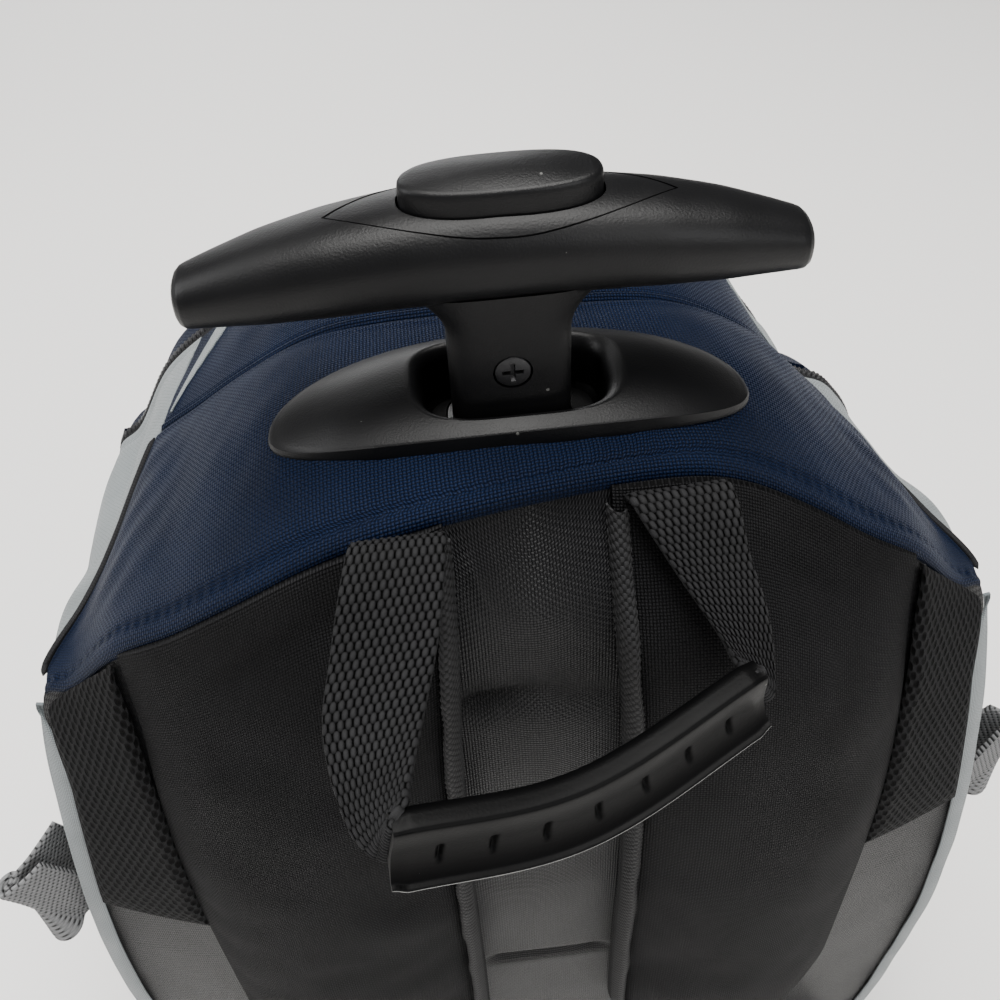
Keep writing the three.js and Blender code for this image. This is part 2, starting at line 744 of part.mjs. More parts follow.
function baseTray() {
  const outer = BASE_ROWS.map(({ up, tuck }) => traySection(BASE_Z + up * TRAY_HEIGHT, tuck * TRAY_HEIGHT));
  const inner = BASE_ROWS.map(({ up, tuck }) => traySection(
    BASE_Z + BASE_WALL + up * (TRAY_HEIGHT - BASE_WALL), tuck * TRAY_HEIGHT + BASE_WALL,
  ));
  const reach = HOUSING_R + GAP;
  const wells = SIDES.map(([side]) => {
    const inside = side * (WHEEL_X - HOUSING_HALF - GAP);
    const outside = side * HALF_WIDTH * 1.1;
    return block(Math.min(inside, outside), Math.max(inside, outside),
      WHEEL_Y - reach * 2, WHEEL_Y + reach, 0, WHEEL_R + reach);
  });
  return cut(skin([...outer.reverse(), ...inner]), ...wells);
}

// An arched fender with two cheeks, which the axle goes through
function wheelHousing(side) {
  const x = side * WHEEL_X;
  const shell = rod(HOUSING_R, x - HOUSING_HALF, x + HOUSING_HALF, WHEEL_Y, WHEEL_R, 28);
  const room = rod(WHEEL_R + HOUSING_ROOM, x - HOUSING_HALF + HOUSING_WALL, x + HOUSING_HALF - HOUSING_WALL,
    WHEEL_Y, WHEEL_R, 28);
  const bore = rod(AXLE_R + GAP, x - HOUSING_HALF - 1, x + HOUSING_HALF + 1, WHEEL_Y, WHEEL_R, 12);
  const below = block(x - HOUSING_HALF - 1, x + HOUSING_HALF + 1,
    WHEEL_Y - HOUSING_R - 1, WHEEL_Y + HOUSING_R + 1, -HOUSING_R, WHEEL_R - AXLE_HEAD_R - 2);
  return cut(shell, room, bore, below);
}

function wheel(side) {
  const half = WHEEL_WIDTH / 2;
  const profile = [
    [AXLE_R + RUN, -half], [11, -half], [WHEEL_R - 10, -half + 3], [WHEEL_R - 7, -half],
    [WHEEL_R - 2, -half], [WHEEL_R, -half + 3], [WHEEL_R, half - 3], [WHEEL_R - 2, half],
    [WHEEL_R - 7, half], [WHEEL_R - 10, half - 3], [11, half], [AXLE_R + RUN, half],
  ].map(([radius, along]) => new Vector2(radius, along));
  profile.push(profile[0].clone());
  const geometry = new THREE.LatheGeometry(profile, 18);
  geometry.rotateZ(Math.PI / 2);
  geometry.translate(side * WHEEL_X, WHEEL_Y, WHEEL_R);
  return geometry;
}

function axle(side) {
  const reach = HOUSING_HALF + GAP;
  const profile = [
    [0, -reach - AXLE_HEAD], [AXLE_HEAD_R - 1, -reach - AXLE_HEAD], [AXLE_HEAD_R, -reach],
    [AXLE_R, -reach], [AXLE_R, reach],
    [AXLE_HEAD_R, reach], [AXLE_HEAD_R - 1, reach + AXLE_HEAD], [0, reach + AXLE_HEAD],
  ].map(([radius, along]) => new Vector2(radius, along));
  const geometry = new THREE.LatheGeometry(profile, 10);
  geometry.rotateZ(Math.PI / 2);
  geometry.translate(side * WHEEL_X, WHEEL_Y, WHEEL_R);
  return geometry;
}

function foot(side) {
  const top = BASE_Z - GAP;
  const rings = [
    oval(FOOT_HALF - 3, FOOT_HALF_DEEP - 3, 0, 14, 4),
    oval(FOOT_HALF - 2, FOOT_HALF_DEEP - 2, 2, 14, 4),
    oval(FOOT_HALF, FOOT_HALF_DEEP, top, 14, 4),
  ];
  const geometry = skin(rings);
  geometry.translate(side * FOOT_X, FOOT_Y, 0);
  return geometry;
}

// Pockets and loops

function sidePocket(side) {
  const lowZ = SEAM_Z + 6;
  const heightShare = (z) => (seamShare(downward, -z) - tipShare) / (1 - tipShare);
  const from = heightShare(POCKET_TOP_Z);
  const to = heightShare(lowZ);
  const place = (extra) => (u, v) => {
    const rise = 1 - v;
    const puff = SIDE_POCKET_OUT * Math.sin(Math.PI * u) ** 0.5 * (0.35 + 0.65 * rise);
    return sidePoint(side, lerp(from, to, v), lerp(0.06, 0.94, u), PAD_LIFT + puff + extra);
  };
  return slab(place(SIDE_POCKET_WALL), place(0), 8, 4);
}

function sideLoop(side) {
  const startShare = (seamShare(downward, LOOP_WIDTH - LOOP_TOP_Z) - tipShare) / (1 - tipShare);
  const lift = LOOP_WALL / 2 + GAP * 2;
  const rear = sidePoint(side, startShare, 0.05, lift);
  const front = sidePoint(side, startShare, 0.17, lift);
  const reachX = LOOP_REACH_X - LOOP_WALL / 2;
  const bend = (rear.y + front.y) / 2 + side * 6 - 6;
  const path = new THREE.CatmullRomCurve3([
    new Vector3(rear.x, rear.y, 0),
    new Vector3(lerp(rear.x, side * reachX, 0.55), lerp(rear.y, bend, 0.7) - 2.5, 0),
    new Vector3(side * (reachX - 2), bend - 3, 0),
    new Vector3(side * reachX, bend, 0),
    new Vector3(side * (reachX - 2), bend + 3, 0),
    new Vector3(lerp(front.x, side * reachX, 0.55), lerp(front.y, bend, 0.7) + 2.5, 0),
    new Vector3(front.x, front.y, 0),
  ], false, 'centripetal');
  const face = (offset) => (u, v) => {
    const point = path.getPointAt(v);
    const tangent = path.getTangentAt(v);
    const out = (Math.abs(point.x) - Math.abs(rear.x)) / (reachX - Math.abs(rear.x));
    return new Vector3(
      point.x + tangent.y * offset,
      point.y - tangent.x * offset,
      LOOP_TOP_Z - LOOP_WIDTH * (1 - u) - 8 * clamp(out, 0, 1),
    );
  };
  return slab(face(LOOP_WALL / 2), face(-LOOP_WALL / 2), 1, 16);
}

function frontPocket() {
  const midZ = (FRONT_POCKET_LOW_Z + FRONT_POCKET_TOP_Z) / 2;
  const halfZ = (FRONT_POCKET_TOP_Z - FRONT_POCKET_LOW_Z) / 2;
  const ring = (share, lift) => oval(1, 1, 0, 22, 4).map((spot) => {
    const x = spot.x * FRONT_POCKET_HALF * share;
    const z = midZ + spot.y * halfZ * share;
    return new Vector3(x, frontY(x, z) + PAD_LIFT + GAP + lift, z);
  });
  const shares = [0.35, 0.7, 0.9, 1];
  const bulge = (share) => FRONT_POCKET_OUT * (1 - share ** 5);
  const inner = shares.map((share) => ring(share * 0.985, Math.max(0, bulge(share) - 0.2)));
  const outer = shares.map((share) => ring(share, bulge(share) + FRONT_POCKET_WALL));
  return skin([...inner, ...outer.reverse()]);
}

// Grab handle: two ribbons of webbing and a moulded grip between their ends
const GRAB_LEFT = new Vector3(-36, -93, 416);
const GRAB_RIGHT = new Vector3(46.5, -66, 409);
const GRAB_SAG = new Vector3(-2, -6.5, -7.5);
const GRAB_UP = new Vector3(0, -0.1, 1); // across the band of the grip
const GRAB_SEAT_X = 29.5; // where each webbing is sewn to the top of its strap
const GRAB_SEAT_DROP = 6;

function ribbon(points, firstWidth, lastWidth, width, wall, steps) {
  const path = new THREE.CatmullRomCurve3(points, false, 'centripetal');
  const face = (offset) => (u, v) => {
    const across = firstWidth.clone().lerp(lastWidth, v).normalize();
    const tangent = path.getTangentAt(v);
    across.addScaledVector(tangent, -across.dot(tangent)).normalize();
    const normal = tangent.clone().cross(across).normalize();
    return path.getPointAt(v)
      .addScaledVector(across, (u - 0.5) * width)
      .addScaledVector(normal, offset);
  };
  return slab(face(wall / 2), face(-wall / 2), 2, steps);
}

function grabPath() {
  const middle = GRAB_LEFT.clone().lerp(GRAB_RIGHT, 0.5).add(GRAB_SAG);
  return new THREE.CatmullRomCurve3([GRAB_LEFT, middle, GRAB_RIGHT]);
}

function grabGrip() {
  const path = grabPath();
  const steps = 9;
  const up = GRAB_UP.clone().normalize();
  const rings = [];
  for (let j = 0; j <= steps; j += 1) {
    const share = j / steps;
    const tangent = path.getTangentAt(share);
    const across = up.clone().addScaledVector(tangent, -up.dot(tangent)).normalize();
    const normal = tangent.clone().cross(across).normalize();
    rings.push(oval(1, 1, 0, 10, 3).map((spot) => path.getPointAt(share)
      .addScaledVector(across, spot.x * GRAB_WIDTH / 2)
      .addScaledVector(normal, spot.y * GRAB_WALL / 2)));
  }
  return skin(rings);
}

// Sewn to the top of a strap: the first edge is moved along Y until it just clears the strap's face.
function grabWebbing(side) {
  const end = side === LEFT ? GRAB_LEFT : GRAB_RIGHT;
  const away = grabPath().getTangentAt(side === LEFT ? 0 : 1).multiplyScalar(side);
  const arrive = end.clone().addScaledVector(away, WEBBING_WALL * 3);
  const last = GRAB_UP.clone().multiplyScalar(-side);
  const start = new Vector3(side * GRAB_SEAT_X, EDGE_BACK_Y, TOP_Z - GRAB_SEAT_DROP);
  let webbing;
  for (let i = 0; i < 4; i += 1) {
    const half = start.clone().lerp(arrive, 0.5).add(new Vector3(side * 4, -1, 2));
    webbing = ribbon([start, half, arrive], new Vector3(1, 0, 0), last, GRAB_WIDTH, WEBBING_WALL, 8);
    const place = webbing.getAttribute('position');
    const corner = new Vector3();
    let clear = Infinity;
    for (let j = 0; j < place.count; j += 1) {
      corner.fromBufferAttribute(place, j);
      if (corner.distanceTo(start) > GRAB_WIDTH * 0.6) continue;
      clear = Math.min(clear, strapFaceY(corner.x, corner.z) - corner.y);
    }
    start.y += clear - GAP * 1.5;
  }
  return webbing;
}

// Trolley handle

// Tubes nest from the outside in. Each gives its outer half sizes and its length.
function tubeSize(stage) {
  const step = stage * (TUBE_WALL + RUN);
  return { halfX: TUBE_HALF - step, halfY: TUBE_HALF_DEEP - step };
}

function tube(stage, lowZ, highZ) {
  const { halfX, halfY } = tubeSize(stage);
  const bar = column(halfX, halfY, lowZ, highZ);
  return cut(bar, column(halfX - TUBE_WALL, halfY - TUBE_WALL, lowZ - 1, highZ + 1));
}

const TUBE_TOP_Z = POCKET_FLOOR_Z;
const OUTER_LOW_Z = BASE_Z + BASE_WALL + GAP;
const MIDDLE_LOW_Z = TUBE_TOP_Z - TRAVEL - TUBE_LAP;
const STEM_LOW_Z = POCKET_FLOOR_Z + 1;
const SOCKET_TOP_Z = STEM_LOW_Z + SOCKET_DEEP;

function bezel() {
  const place = (share, height) => oval(BEZEL_HALF * share, BEZEL_HALF_DEEP * share, 0, 28, 2.25)
    .map((spot) => new Vector3(spot.x, spot.y, height(spot.x)));
  const under = (x) => rimZ(x) - BEZEL_RIM;
  const rings = [place(0.55, under), place(0.8, under), place(1, under), place(1, rimZ)];
  [0.96, 0.82, 0.58, 0.3].forEach((share) => {
    rings.push(place(share, (x) => rimZ(x) + BEZEL_DOME * (1 - share ** 3)));
  });
  const collar = column(POCKET_HALF + COLLAR_WALL, POCKET_HALF_DEEP + COLLAR_WALL,
    COLLAR_BOTTOM_Z + GAP, RIM_Z);
  const pocket = column(POCKET_HALF, POCKET_HALF_DEEP, POCKET_FLOOR_Z, RIM_Z + 20);
  const { halfX, halfY } = tubeSize(0);
  const bore = column(halfX + GAP, halfY + GAP, COLLAR_BOTTOM_Z - 10, RIM_Z);
  return cut(join(skin(rings), collar), pocket, bore);
}

function gripBlank() {
  const steps = [];
  GRIP_ROWS.forEach(({ at }) => steps.push(at));
  const ats = [...steps.slice(1).reverse().map((at) => -at), ...steps];
  return skin(ats.map((at) => {
    const thick = readRows(GRIP_ROWS, 'at', Math.abs(at), 'thick');
    const x = at * GRIP_HALF;
    const middleZ = GRIP_Z - GRIP_DROOP * Math.abs(at) ** 1.8;
    return oval(GRIP_DEEP / 2 * thick, GRIP_TALL / 2 * thick, 0, 12, 2.3)
      .map((spot) => new Vector3(x, spot.x, middleZ + spot.y));
  }));
}

// The lens seen from above: two arcs that meet at the ends
function lensColumn(inset, lowZ, highZ) {
  const half = INSERT_HALF - inset * 2;
  const deep = INSERT_HALF_DEEP - inset;
  const radius = (half * half + deep * deep) / (2 * deep);
  const angle = Math.asin(half / radius);
  const shape = new THREE.Shape();
  shape.absarc(0, deep - radius, radius, Math.PI / 2 - angle, Math.PI / 2 + angle, false);
  shape.absarc(0, radius - deep, radius, 1.5 * Math.PI - angle, 1.5 * Math.PI + angle, false);
  const geometry = new THREE.ExtrudeGeometry(shape, {
    depth: highZ - lowZ, bevelEnabled: false, curveSegments: 7,
  });
  geometry.translate(0, 0, lowZ);
  return geometry;
}

const INSERT_FLOOR_Z = GRIP_Z + INSERT_FLOOR;

function handleGrip() {
  const flareZ = GRIP_Z - GRIP_TALL / 2;
  const stem = skin([
    oval(STEM_HALF, STEM_HALF_DEEP, STEM_LOW_Z, TUBE_COUNT, TUBE_POWER),
    oval(STEM_HALF, STEM_HALF_DEEP, flareZ - 9, TUBE_COUNT, TUBE_POWER),
    oval(STEM_HALF + 1, STEM_HALF_DEEP + 0.3, flareZ - 4, TUBE_COUNT, TUBE_POWER),
    oval(STEM_HALF + 4, STEM_HALF_DEEP + 0.8, flareZ, TUBE_COUNT, 4),
    oval(STEM_HALF + 7, STEM_HALF_DEEP + 0.8, flareZ + STEM_GRIP_LAP / 2, TUBE_COUNT, 3),
  ]);
  const { halfX, halfY } = tubeSize(2);
  const socket = column(halfX + GAP, halfY + GAP, STEM_LOW_Z - 1, SOCKET_TOP_Z + GAP);
  const lens = lensColumn(0, INSERT_FLOOR_Z, GRIP_Z + GRIP_TALL);
  const well = column(BUTTON_HALF + RUN, BUTTON_HALF_DEEP + RUN,
    GRIP_Z + BUTTON_FOOT - BUTTON_TRAVEL - RUN, GRIP_Z + GRIP_TALL, 2.4, 20);
  const recess = new THREE.CylinderGeometry(SCREW_R + GAP, SCREW_R + GAP, (SCREW_HEAD + RUN) * 2, 14);
  recess.translate(0, -STEM_HALF_DEEP, SCREW_Z);
  return cut(join(gripBlank(), stem), socket, lens, well, recess);
}

function gripInsert() {
  const plug = lensColumn(GAP, INSERT_FLOOR_Z + GAP, GRIP_Z + GRIP_TALL);
  const hole = column(BUTTON_HALF + RUN, BUTTON_HALF_DEEP + RUN, GRIP_Z - 10, GRIP_Z + GRIP_TALL, 2.4, 20);
  return cut(common(gripBlank(), plug), hole);
}

function pushButton() {
  const foot = GRIP_Z + BUTTON_FOOT;
  const top = GRIP_Z + BUTTON_TOP;
  const ring = (share, z) => oval(BUTTON_HALF * share, BUTTON_HALF_DEEP * share, z, 20, 2.4);
  const rings = [ring(1, foot), ring(1, top - BUTTON_CROWN - 0.8), ring(0.97, top - BUTTON_CROWN)];
  [0.75, 0.4].forEach((share) => rings.push(ring(share, top - BUTTON_CROWN * share ** 2)));
  return skin(rings);
}

// Countersunk head with a cross recess, on the stem's wearer side
function stemScrew() {
  const head = new THREE.CylinderGeometry(SCREW_R, SCREW_R - 0.4, SCREW_HEAD, 14);
  head.rotateX(Math.PI);
  head.translate(0, -STEM_HALF_DEEP + SCREW_HEAD / 2 + RUN / 2, SCREW_Z);
  const arm = SCREW_R * 0.62;
  const face = -STEM_HALF_DEEP - 1;
  const flat = block(-arm, arm, face, face + 2.2, SCREW_Z - SCREW_SLOT / 2, SCREW_Z + SCREW_SLOT / 2);
  const tall = block(-SCREW_SLOT / 2, SCREW_SLOT / 2, face, face + 2.2, SCREW_Z - arm, SCREW_Z + arm);
  return cut(head, flat, tall);
}

// Materials

const finish = (color, roughness, metalness = 0) => new THREE.MeshStandardMaterial({
  color, roughness, metalness,
});
const NAVY = finish(0x16233f, 0.8);
const GREY = finish(0x9aa3a6, 0.85);
const BLACK_CLOTH = finish(0x17181b, 0.85);
const BLACK_NYLON = finish(0x1f2024, 0.55);
const MESH_CLOTH = finish(0x1a1b1e, 0.9);
const WEBBING = finish(0x1c1d20, 0.8);
const LOOP_WEB = finish(0x55585c, 0.8);
const PLASTIC = finish(0x131415, 0.5);
const RUBBER = finish(0x1b1b1c, 0.85);
const ALUMINIUM = finish(0xb4b6b8, 0.35, 1);
const STEEL = finish(0x4a4b4d, 0.4, 1);

const backpack = new THREE.Group();

function add(name, geometry, material) {
  const mesh = new THREE.Mesh(geometry, material);
  mesh.name = name;
  backpack.add(mesh);
}

add('handle_grip', handleGrip(), PLASTIC);
add('grip_insert', gripInsert(), PLASTIC);
add('push_button', pushButton(), PLASTIC);
add('stem_screw', stemScrew(), STEEL);
add('inner_tube', tube(2, MIDDLE_LOW_Z + 10, SOCKET_TOP_Z), ALUMINIUM);
add('middle_tube', tube(1, MIDDLE_LOW_Z, TUBE_TOP_Z), ALUMINIUM);
add('outer_tube', tube(0, OUTER_LOW_Z, TUBE_TOP_Z), ALUMINIUM);
add('bezel', bezel(), PLASTIC);
add('top_panel', topPanel(), NAVY);
add('front_gusset', frontGusset(), NAVY);
add('back_panel', backPanel(), BLACK_NYLON);
add('front_panel', frontPanel(), NAVY);
add('front_pocket', frontPocket(), NAVY);
add('main_zip', mainZip(), BLACK_CLOTH);
add('grab_grip', grabGrip(), PLASTIC);
add('base_tray', baseTray(), PLASTIC);
SIDES.forEach(([side, word]) => {
  add(`side_panel_${word}`, sidePanel(side), GREY);
  add(`piping_${word}`, piping(side), BLACK_CLOTH);
  add(`zip_slider_${word}`, zipSlider(side), STEEL);
  add(`mesh_pad_${word}`, meshPad(side), MESH_CLOTH);
  add(`shoulder_strap_${word}`, shoulderStrap(side), BLACK_CLOTH);
  add(`strap_binding_${word}`, strapBinding(side), WEBBING);
  add(`ladder_lock_${word}`, ladderLock(side), PLASTIC);
  add(`strap_webbing_${word}`, strapWebbing(side), WEBBING);
  add(`grab_webbing_${word}`, grabWebbing(side), WEBBING);
  add(`side_loop_${word}`, sideLoop(side), LOOP_WEB);
  add(`side_pocket_${word}`, sidePocket(side), BLACK_CLOTH);
  add(`wheel_housing_${word}`, wheelHousing(side), PLASTIC);
  add(`wheel_${word}`, wheel(side), RUBBER);
  add(`axle_${word}`, axle(side), STEEL);
  add(`foot_${word}`, foot(side), RUBBER);
});

// The origin goes to the middle of the footprint
const reach = new THREE.Box3().setFromObject(backpack, true);
const centre = reach.getCenter(new Vector3());
backpack.position.set(-centre.x, -centre.y, -reach.min.z);

export default backpack;
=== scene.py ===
# A wheeled backpack seen from over the wearer's side, with its pull handle stored down. The packed
# model is the fixed frame, and every soft or moulded piece is built round it here.
import math

import bmesh
import bpy
import numpy as np
from mathutils import Matrix, Vector


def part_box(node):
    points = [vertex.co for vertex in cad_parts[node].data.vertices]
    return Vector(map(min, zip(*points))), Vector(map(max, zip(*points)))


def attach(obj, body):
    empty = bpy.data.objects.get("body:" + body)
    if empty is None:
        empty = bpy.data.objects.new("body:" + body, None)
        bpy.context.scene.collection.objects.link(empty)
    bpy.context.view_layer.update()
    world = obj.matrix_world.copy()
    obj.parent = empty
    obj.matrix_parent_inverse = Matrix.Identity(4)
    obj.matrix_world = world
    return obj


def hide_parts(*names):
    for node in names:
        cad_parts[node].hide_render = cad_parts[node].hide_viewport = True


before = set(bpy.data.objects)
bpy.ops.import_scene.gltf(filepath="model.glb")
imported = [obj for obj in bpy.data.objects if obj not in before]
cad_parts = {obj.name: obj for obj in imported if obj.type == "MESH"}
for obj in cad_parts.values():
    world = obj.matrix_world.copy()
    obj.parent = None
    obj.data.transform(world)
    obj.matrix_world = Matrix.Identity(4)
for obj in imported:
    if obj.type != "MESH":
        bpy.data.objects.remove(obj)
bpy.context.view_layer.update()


# Camera. It is held close over the wearer's side and looks down at the pull handle, which puts the
# grip across the middle of the picture and lets the bag run out of its lower edge.
tube_low, tube_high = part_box("outer_tube")
AXIS_Y = (tube_low.y + tube_high.y) / 2
CAMERA_PLACE = Vector((-0.0169, AXIS_Y - 0.1902, 0.6084))
CAMERA_YAW = math.radians(-3.96)
CAMERA_PITCH = math.radians(46.0)
CAMERA_ROLL = math.radians(-3.31)

camera_data = bpy.data.cameras.new("camera")
camera_data.sensor_width = 36
camera_data.lens = 37.8
camera_data.clip_start = 0.01
camera = bpy.data.objects.new("camera", camera_data)
bpy.context.scene.collection.objects.link(camera)
forward = Vector((
    -math.sin(CAMERA_YAW) * math.cos(CAMERA_PITCH),
    math.cos(CAMERA_YAW) * math.cos(CAMERA_PITCH),
    -math.sin(CAMERA_PITCH),
))
level = Vector((math.cos(CAMERA_YAW), math.sin(CAMERA_YAW), 0))
above = level.cross(forward)
picture_right = level * math.cos(CAMERA_ROLL) + above * math.sin(CAMERA_ROLL)
picture_up = above * math.cos(CAMERA_ROLL) - level * math.sin(CAMERA_ROLL)
turn = Matrix((picture_right, picture_up, -forward)).transposed().to_4x4()
camera.matrix_world = Matrix.Translation(CAMERA_PLACE) @ turn
bpy.context.scene.camera = camera


# Floor and light. A pale floor runs out of the picture, and wide soft lamps stand in for a bright
# room: one overhead, one like a window behind the camera on its right, and weak ones on the left and
# in front. The sky is brightest behind the camera.
def calc(tree, operation, *values):
    node = tree.nodes.new("ShaderNodeMath")
    node.operation = operation
    for socket, value in zip(node.inputs, values):
        if isinstance(value, (int, float)):
            socket.default_value = value
        else:
            tree.links.new(value, socket)
    return node.outputs[0]


def new_material(name, color, roughness, metallic=0.0):
    material = bpy.data.materials.new(name)
    material.use_nodes = True
    shader = material.node_tree.nodes["Principled BSDF"]
    shader.inputs["Base Color"].default_value = (*color, 1)
    shader.inputs["Roughness"].default_value = roughness
    shader.inputs["Metallic"].default_value = metallic
    return material, material.node_tree, shader


def lamp(name, place, target, size, watts, color=(1, 1, 1)):
    data = bpy.data.lights.new(name, "AREA")
    data.shape = "RECTANGLE"
    data.size, data.size_y = size
    data.energy = watts
    data.color = color
    piece = bpy.data.objects.new(name, data)
    piece.location = place
    piece.rotation_euler = (Vector(target) - Vector(place)).to_track_quat("-Z", "Y").to_euler()
    bpy.context.scene.collection.objects.link(piece)


FLOOR_COLOR = (0.9, 0.885, 0.865)
FLOOR_PATCH_COLOR = (0.92, 0.91, 0.895)
FLOOR_REACH = 30.0
SKY_COLOR = (0.95, 0.965, 1)
SKY_LEAST, SKY_GAIN, SKY_POWER = 0.07, 0.34, 1.6
floor_mesh = bpy.data.meshes.new("floor")
floor_corners = [(FLOOR_REACH * x, FLOOR_REACH * y, 0) for x, y in ((-1, -1), (1, -1), (1, 1), (-1, 1))]
floor_mesh.from_pydata(floor_corners, [], [(0, 1, 2, 3)])
floor = bpy.data.objects.new("floor", floor_mesh)
bpy.context.scene.collection.objects.link(floor)
floor_material, floor_tree, floor_shader = new_material("pale_floor", FLOOR_COLOR, 0.75)
floor_noise = floor_tree.nodes.new("ShaderNodeTexNoise")
floor_noise.inputs["Scale"].default_value = 1.6
floor_mix = floor_tree.nodes.new("ShaderNodeMix")
floor_mix.data_type = "RGBA"
floor_mix.inputs["A"].default_value = (*FLOOR_COLOR, 1)
floor_mix.inputs["B"].default_value = (*FLOOR_PATCH_COLOR, 1)
floor_tree.links.new(floor_noise.outputs["Fac"], floor_mix.inputs["Factor"])
floor_tree.links.new(floor_mix.outputs["Result"], floor_shader.inputs["Base Color"])
floor_mesh.materials.append(floor_material)

world = bpy.data.worlds.new("room")
world.use_nodes = True
room = world.node_tree
towards = room.nodes.new("ShaderNodeSeparateXYZ")
room.links.new(room.nodes.new("ShaderNodeTexCoord").outputs["Generated"], towards.inputs[0])
behind = calc(room, "MULTIPLY_ADD", towards.outputs["Y"], -0.5, 0.5)
glow = calc(room, "MULTIPLY_ADD", calc(room, "POWER", behind, SKY_POWER), SKY_GAIN, SKY_LEAST)
room.nodes["Background"].inputs["Color"].default_value = (*SKY_COLOR, 1)
room.links.new(glow, room.nodes["Background"].inputs["Strength"])
bpy.context.scene.world = world
lamp("ceiling_lamp", (0.1, -0.1, 2.5), (0, 0, 0.2), (1.7, 1.7), 125, (1, 0.985, 0.96))
lamp("window_lamp", (1.15, -1.5, 1.3), (0, 0, 0.35), (1.1, 1.1), 17)
lamp("left_lamp", (-1.35, 0.2, 1.2), (0, 0, 0.3), (0.8, 1.0), 16)
lamp("front_lamp", (-0.4, 2.4, 0.9), (0, 0, 0.25), (1.4, 0.7), 16)


# Back of the bag. A black nylon sheet over foam is sewn into one seam that arches over the shoulders.
# Between the straps it shows as a shiny channel, puffed at the top and creased across.
MM = 0.001
HALF_WIDTH = 157
SEAM_Z = 70
TOP_Z = 445
RISE = TOP_Z - SEAM_Z
EDGE_BACK_Y = -54
EDGE_SWEEP = 46
BACK_BELLY = 18.5
GAP = 0.3
BAG_MIDDLE = np.array([0, 50, 220])

# Back seam from the top middle down to the base, as shares: out of HALF_WIDTH, up of RISE, ahead of
# EDGE_SWEEP.
SEAM_ROWS = np.array([
    (0, 1, 0.4), (0.22, 0.99, 0.44), (0.32, 0.975, 0.48), (0.45, 0.938, 0.56), (0.56, 0.901, 0.64),
    (0.68, 0.861, 0.76), (0.81, 0.797, 0.92), (0.868, 0.779, 1), (0.896, 0.74, 0.93), (0.93, 0.64, 0.74),
    (0.98, 0.48, 0.61), (1, 0.32, 0.52), (0.985, 0.133, 0.478), (0.955, 0, 0.435),
])
# How full the middle of the back is: up as a share of RISE, full as a share of BACK_BELLY
BELLY_UP = [0, 0.133, 0.35, 0.61, 0.75, 0.88, 0.96, 1]
BELLY_FULL = [0.62, 0.78, 0.92, 1, 0.9, 0.62, 0.28, 0]

half_seam = np.stack([
    SEAM_ROWS[:, 0] * HALF_WIDTH,
    EDGE_BACK_Y + SEAM_ROWS[:, 2] * EDGE_SWEEP,
    SEAM_Z + GAP + SEAM_ROWS[:, 1] * (RISE - GAP),
], axis=1)


def smooth_curve(points, steps=40):
    """A centripetal Catmull-Rom curve through the points, as a dense polyline."""
    points = np.asarray(points, float)
    ends = [2 * points[0] - points[1], *points, 2 * points[-1] - points[-2]]
    curve = []
    for before, start, end, after in zip(ends, ends[1:], ends[2:], ends[3:]):
        gaps = [np.linalg.norm(b - a) ** 0.5 + 1e-9 for a, b in ((before, start), (start, end), (end, after))]
        leave = (start - before) / gaps[0] - (end - before) / (gaps[0] + gaps[1]) + (end - start) / gaps[1]
        arrive = (end - start) / gaps[1] - (after - start) / (gaps[1] + gaps[2]) + (after - end) / gaps[2]
        leave, arrive = leave * gaps[1], arrive * gaps[1]
        t = np.linspace(0, 1, steps, endpoint=False)[:, None]
        curve.append(start + leave * t + (-3 * start + 3 * end - 2 * leave - arrive) * t ** 2
                     + (2 * start - 2 * end + leave + arrive) * t ** 3)
    return np.vstack([*curve, points[-1:]])


def by_length(curve):
    """Reads a polyline at shares of its length, for arrays of shares of any shape."""
    run = np.concatenate([[0], np.cumsum(np.linalg.norm(np.diff(curve, axis=0), axis=1))])
    run /= run[-1]
    return lambda share: np.stack([np.interp(share, run, curve[:, k]) for k in range(3)], axis=-1)


mirrored = half_seam[:0:-1] * [-1, 1, 1]
whole_seam = smooth_curve(np.vstack([mirrored, half_seam]))
seam_at = by_length(whole_seam)
down_seam = seam_at(np.linspace(0.5, 1, 3000))
seam_heights, seam_first = np.unique(down_seam[:, 2], return_index=True)
tip_place = int(np.argmax(down_seam[:, 0] > 136))


def edge_at_height(z):
    return [np.interp(z, seam_heights, down_seam[seam_first, k]) for k in (0, 1)]


def arch(x):
    """The back seam over a place across: its y and its height."""
    out = np.abs(x)
    return [np.interp(out, down_seam[:tip_place + 1, 0], down_seam[:tip_place + 1, k]) for k in (1, 2)]


def back_y(x, z):
    middle = half_seam[0, 1] - BACK_BELLY * np.interp((z - SEAM_Z) / RISE, BELLY_UP, BELLY_FULL)
    edge_x, edge_y = edge_at_height(z)
    share = np.clip(np.abs(x) / np.maximum(edge_x, 1), 0, 1)
    return middle + (edge_y - middle) * share ** 2.2


def soft_step(low, high, value):
    share = np.clip((value - low) / (high - low), 0, 1)
    return share * share * (3 - 2 * share)


def mound(value, middle, width):
    return np.exp(-((value - middle) / width) ** 2)


# How the filled-out form has sunk: each side's dent by depth, height and spread, and the top's sag
DENT_RIGHT, DENT_RIGHT_Z, DENT_RIGHT_SPREAD = 17, 376, 34
DENT_LEFT, DENT_LEFT_Z, DENT_LEFT_SPREAD = 7.5, 356, 30
DENT_INWARD, DENT_DOWN = 0.72, 0.68
SAG, SAG_MORE, SAG_MORE_X, SAG_SPREAD = 4, 4, -55, 45


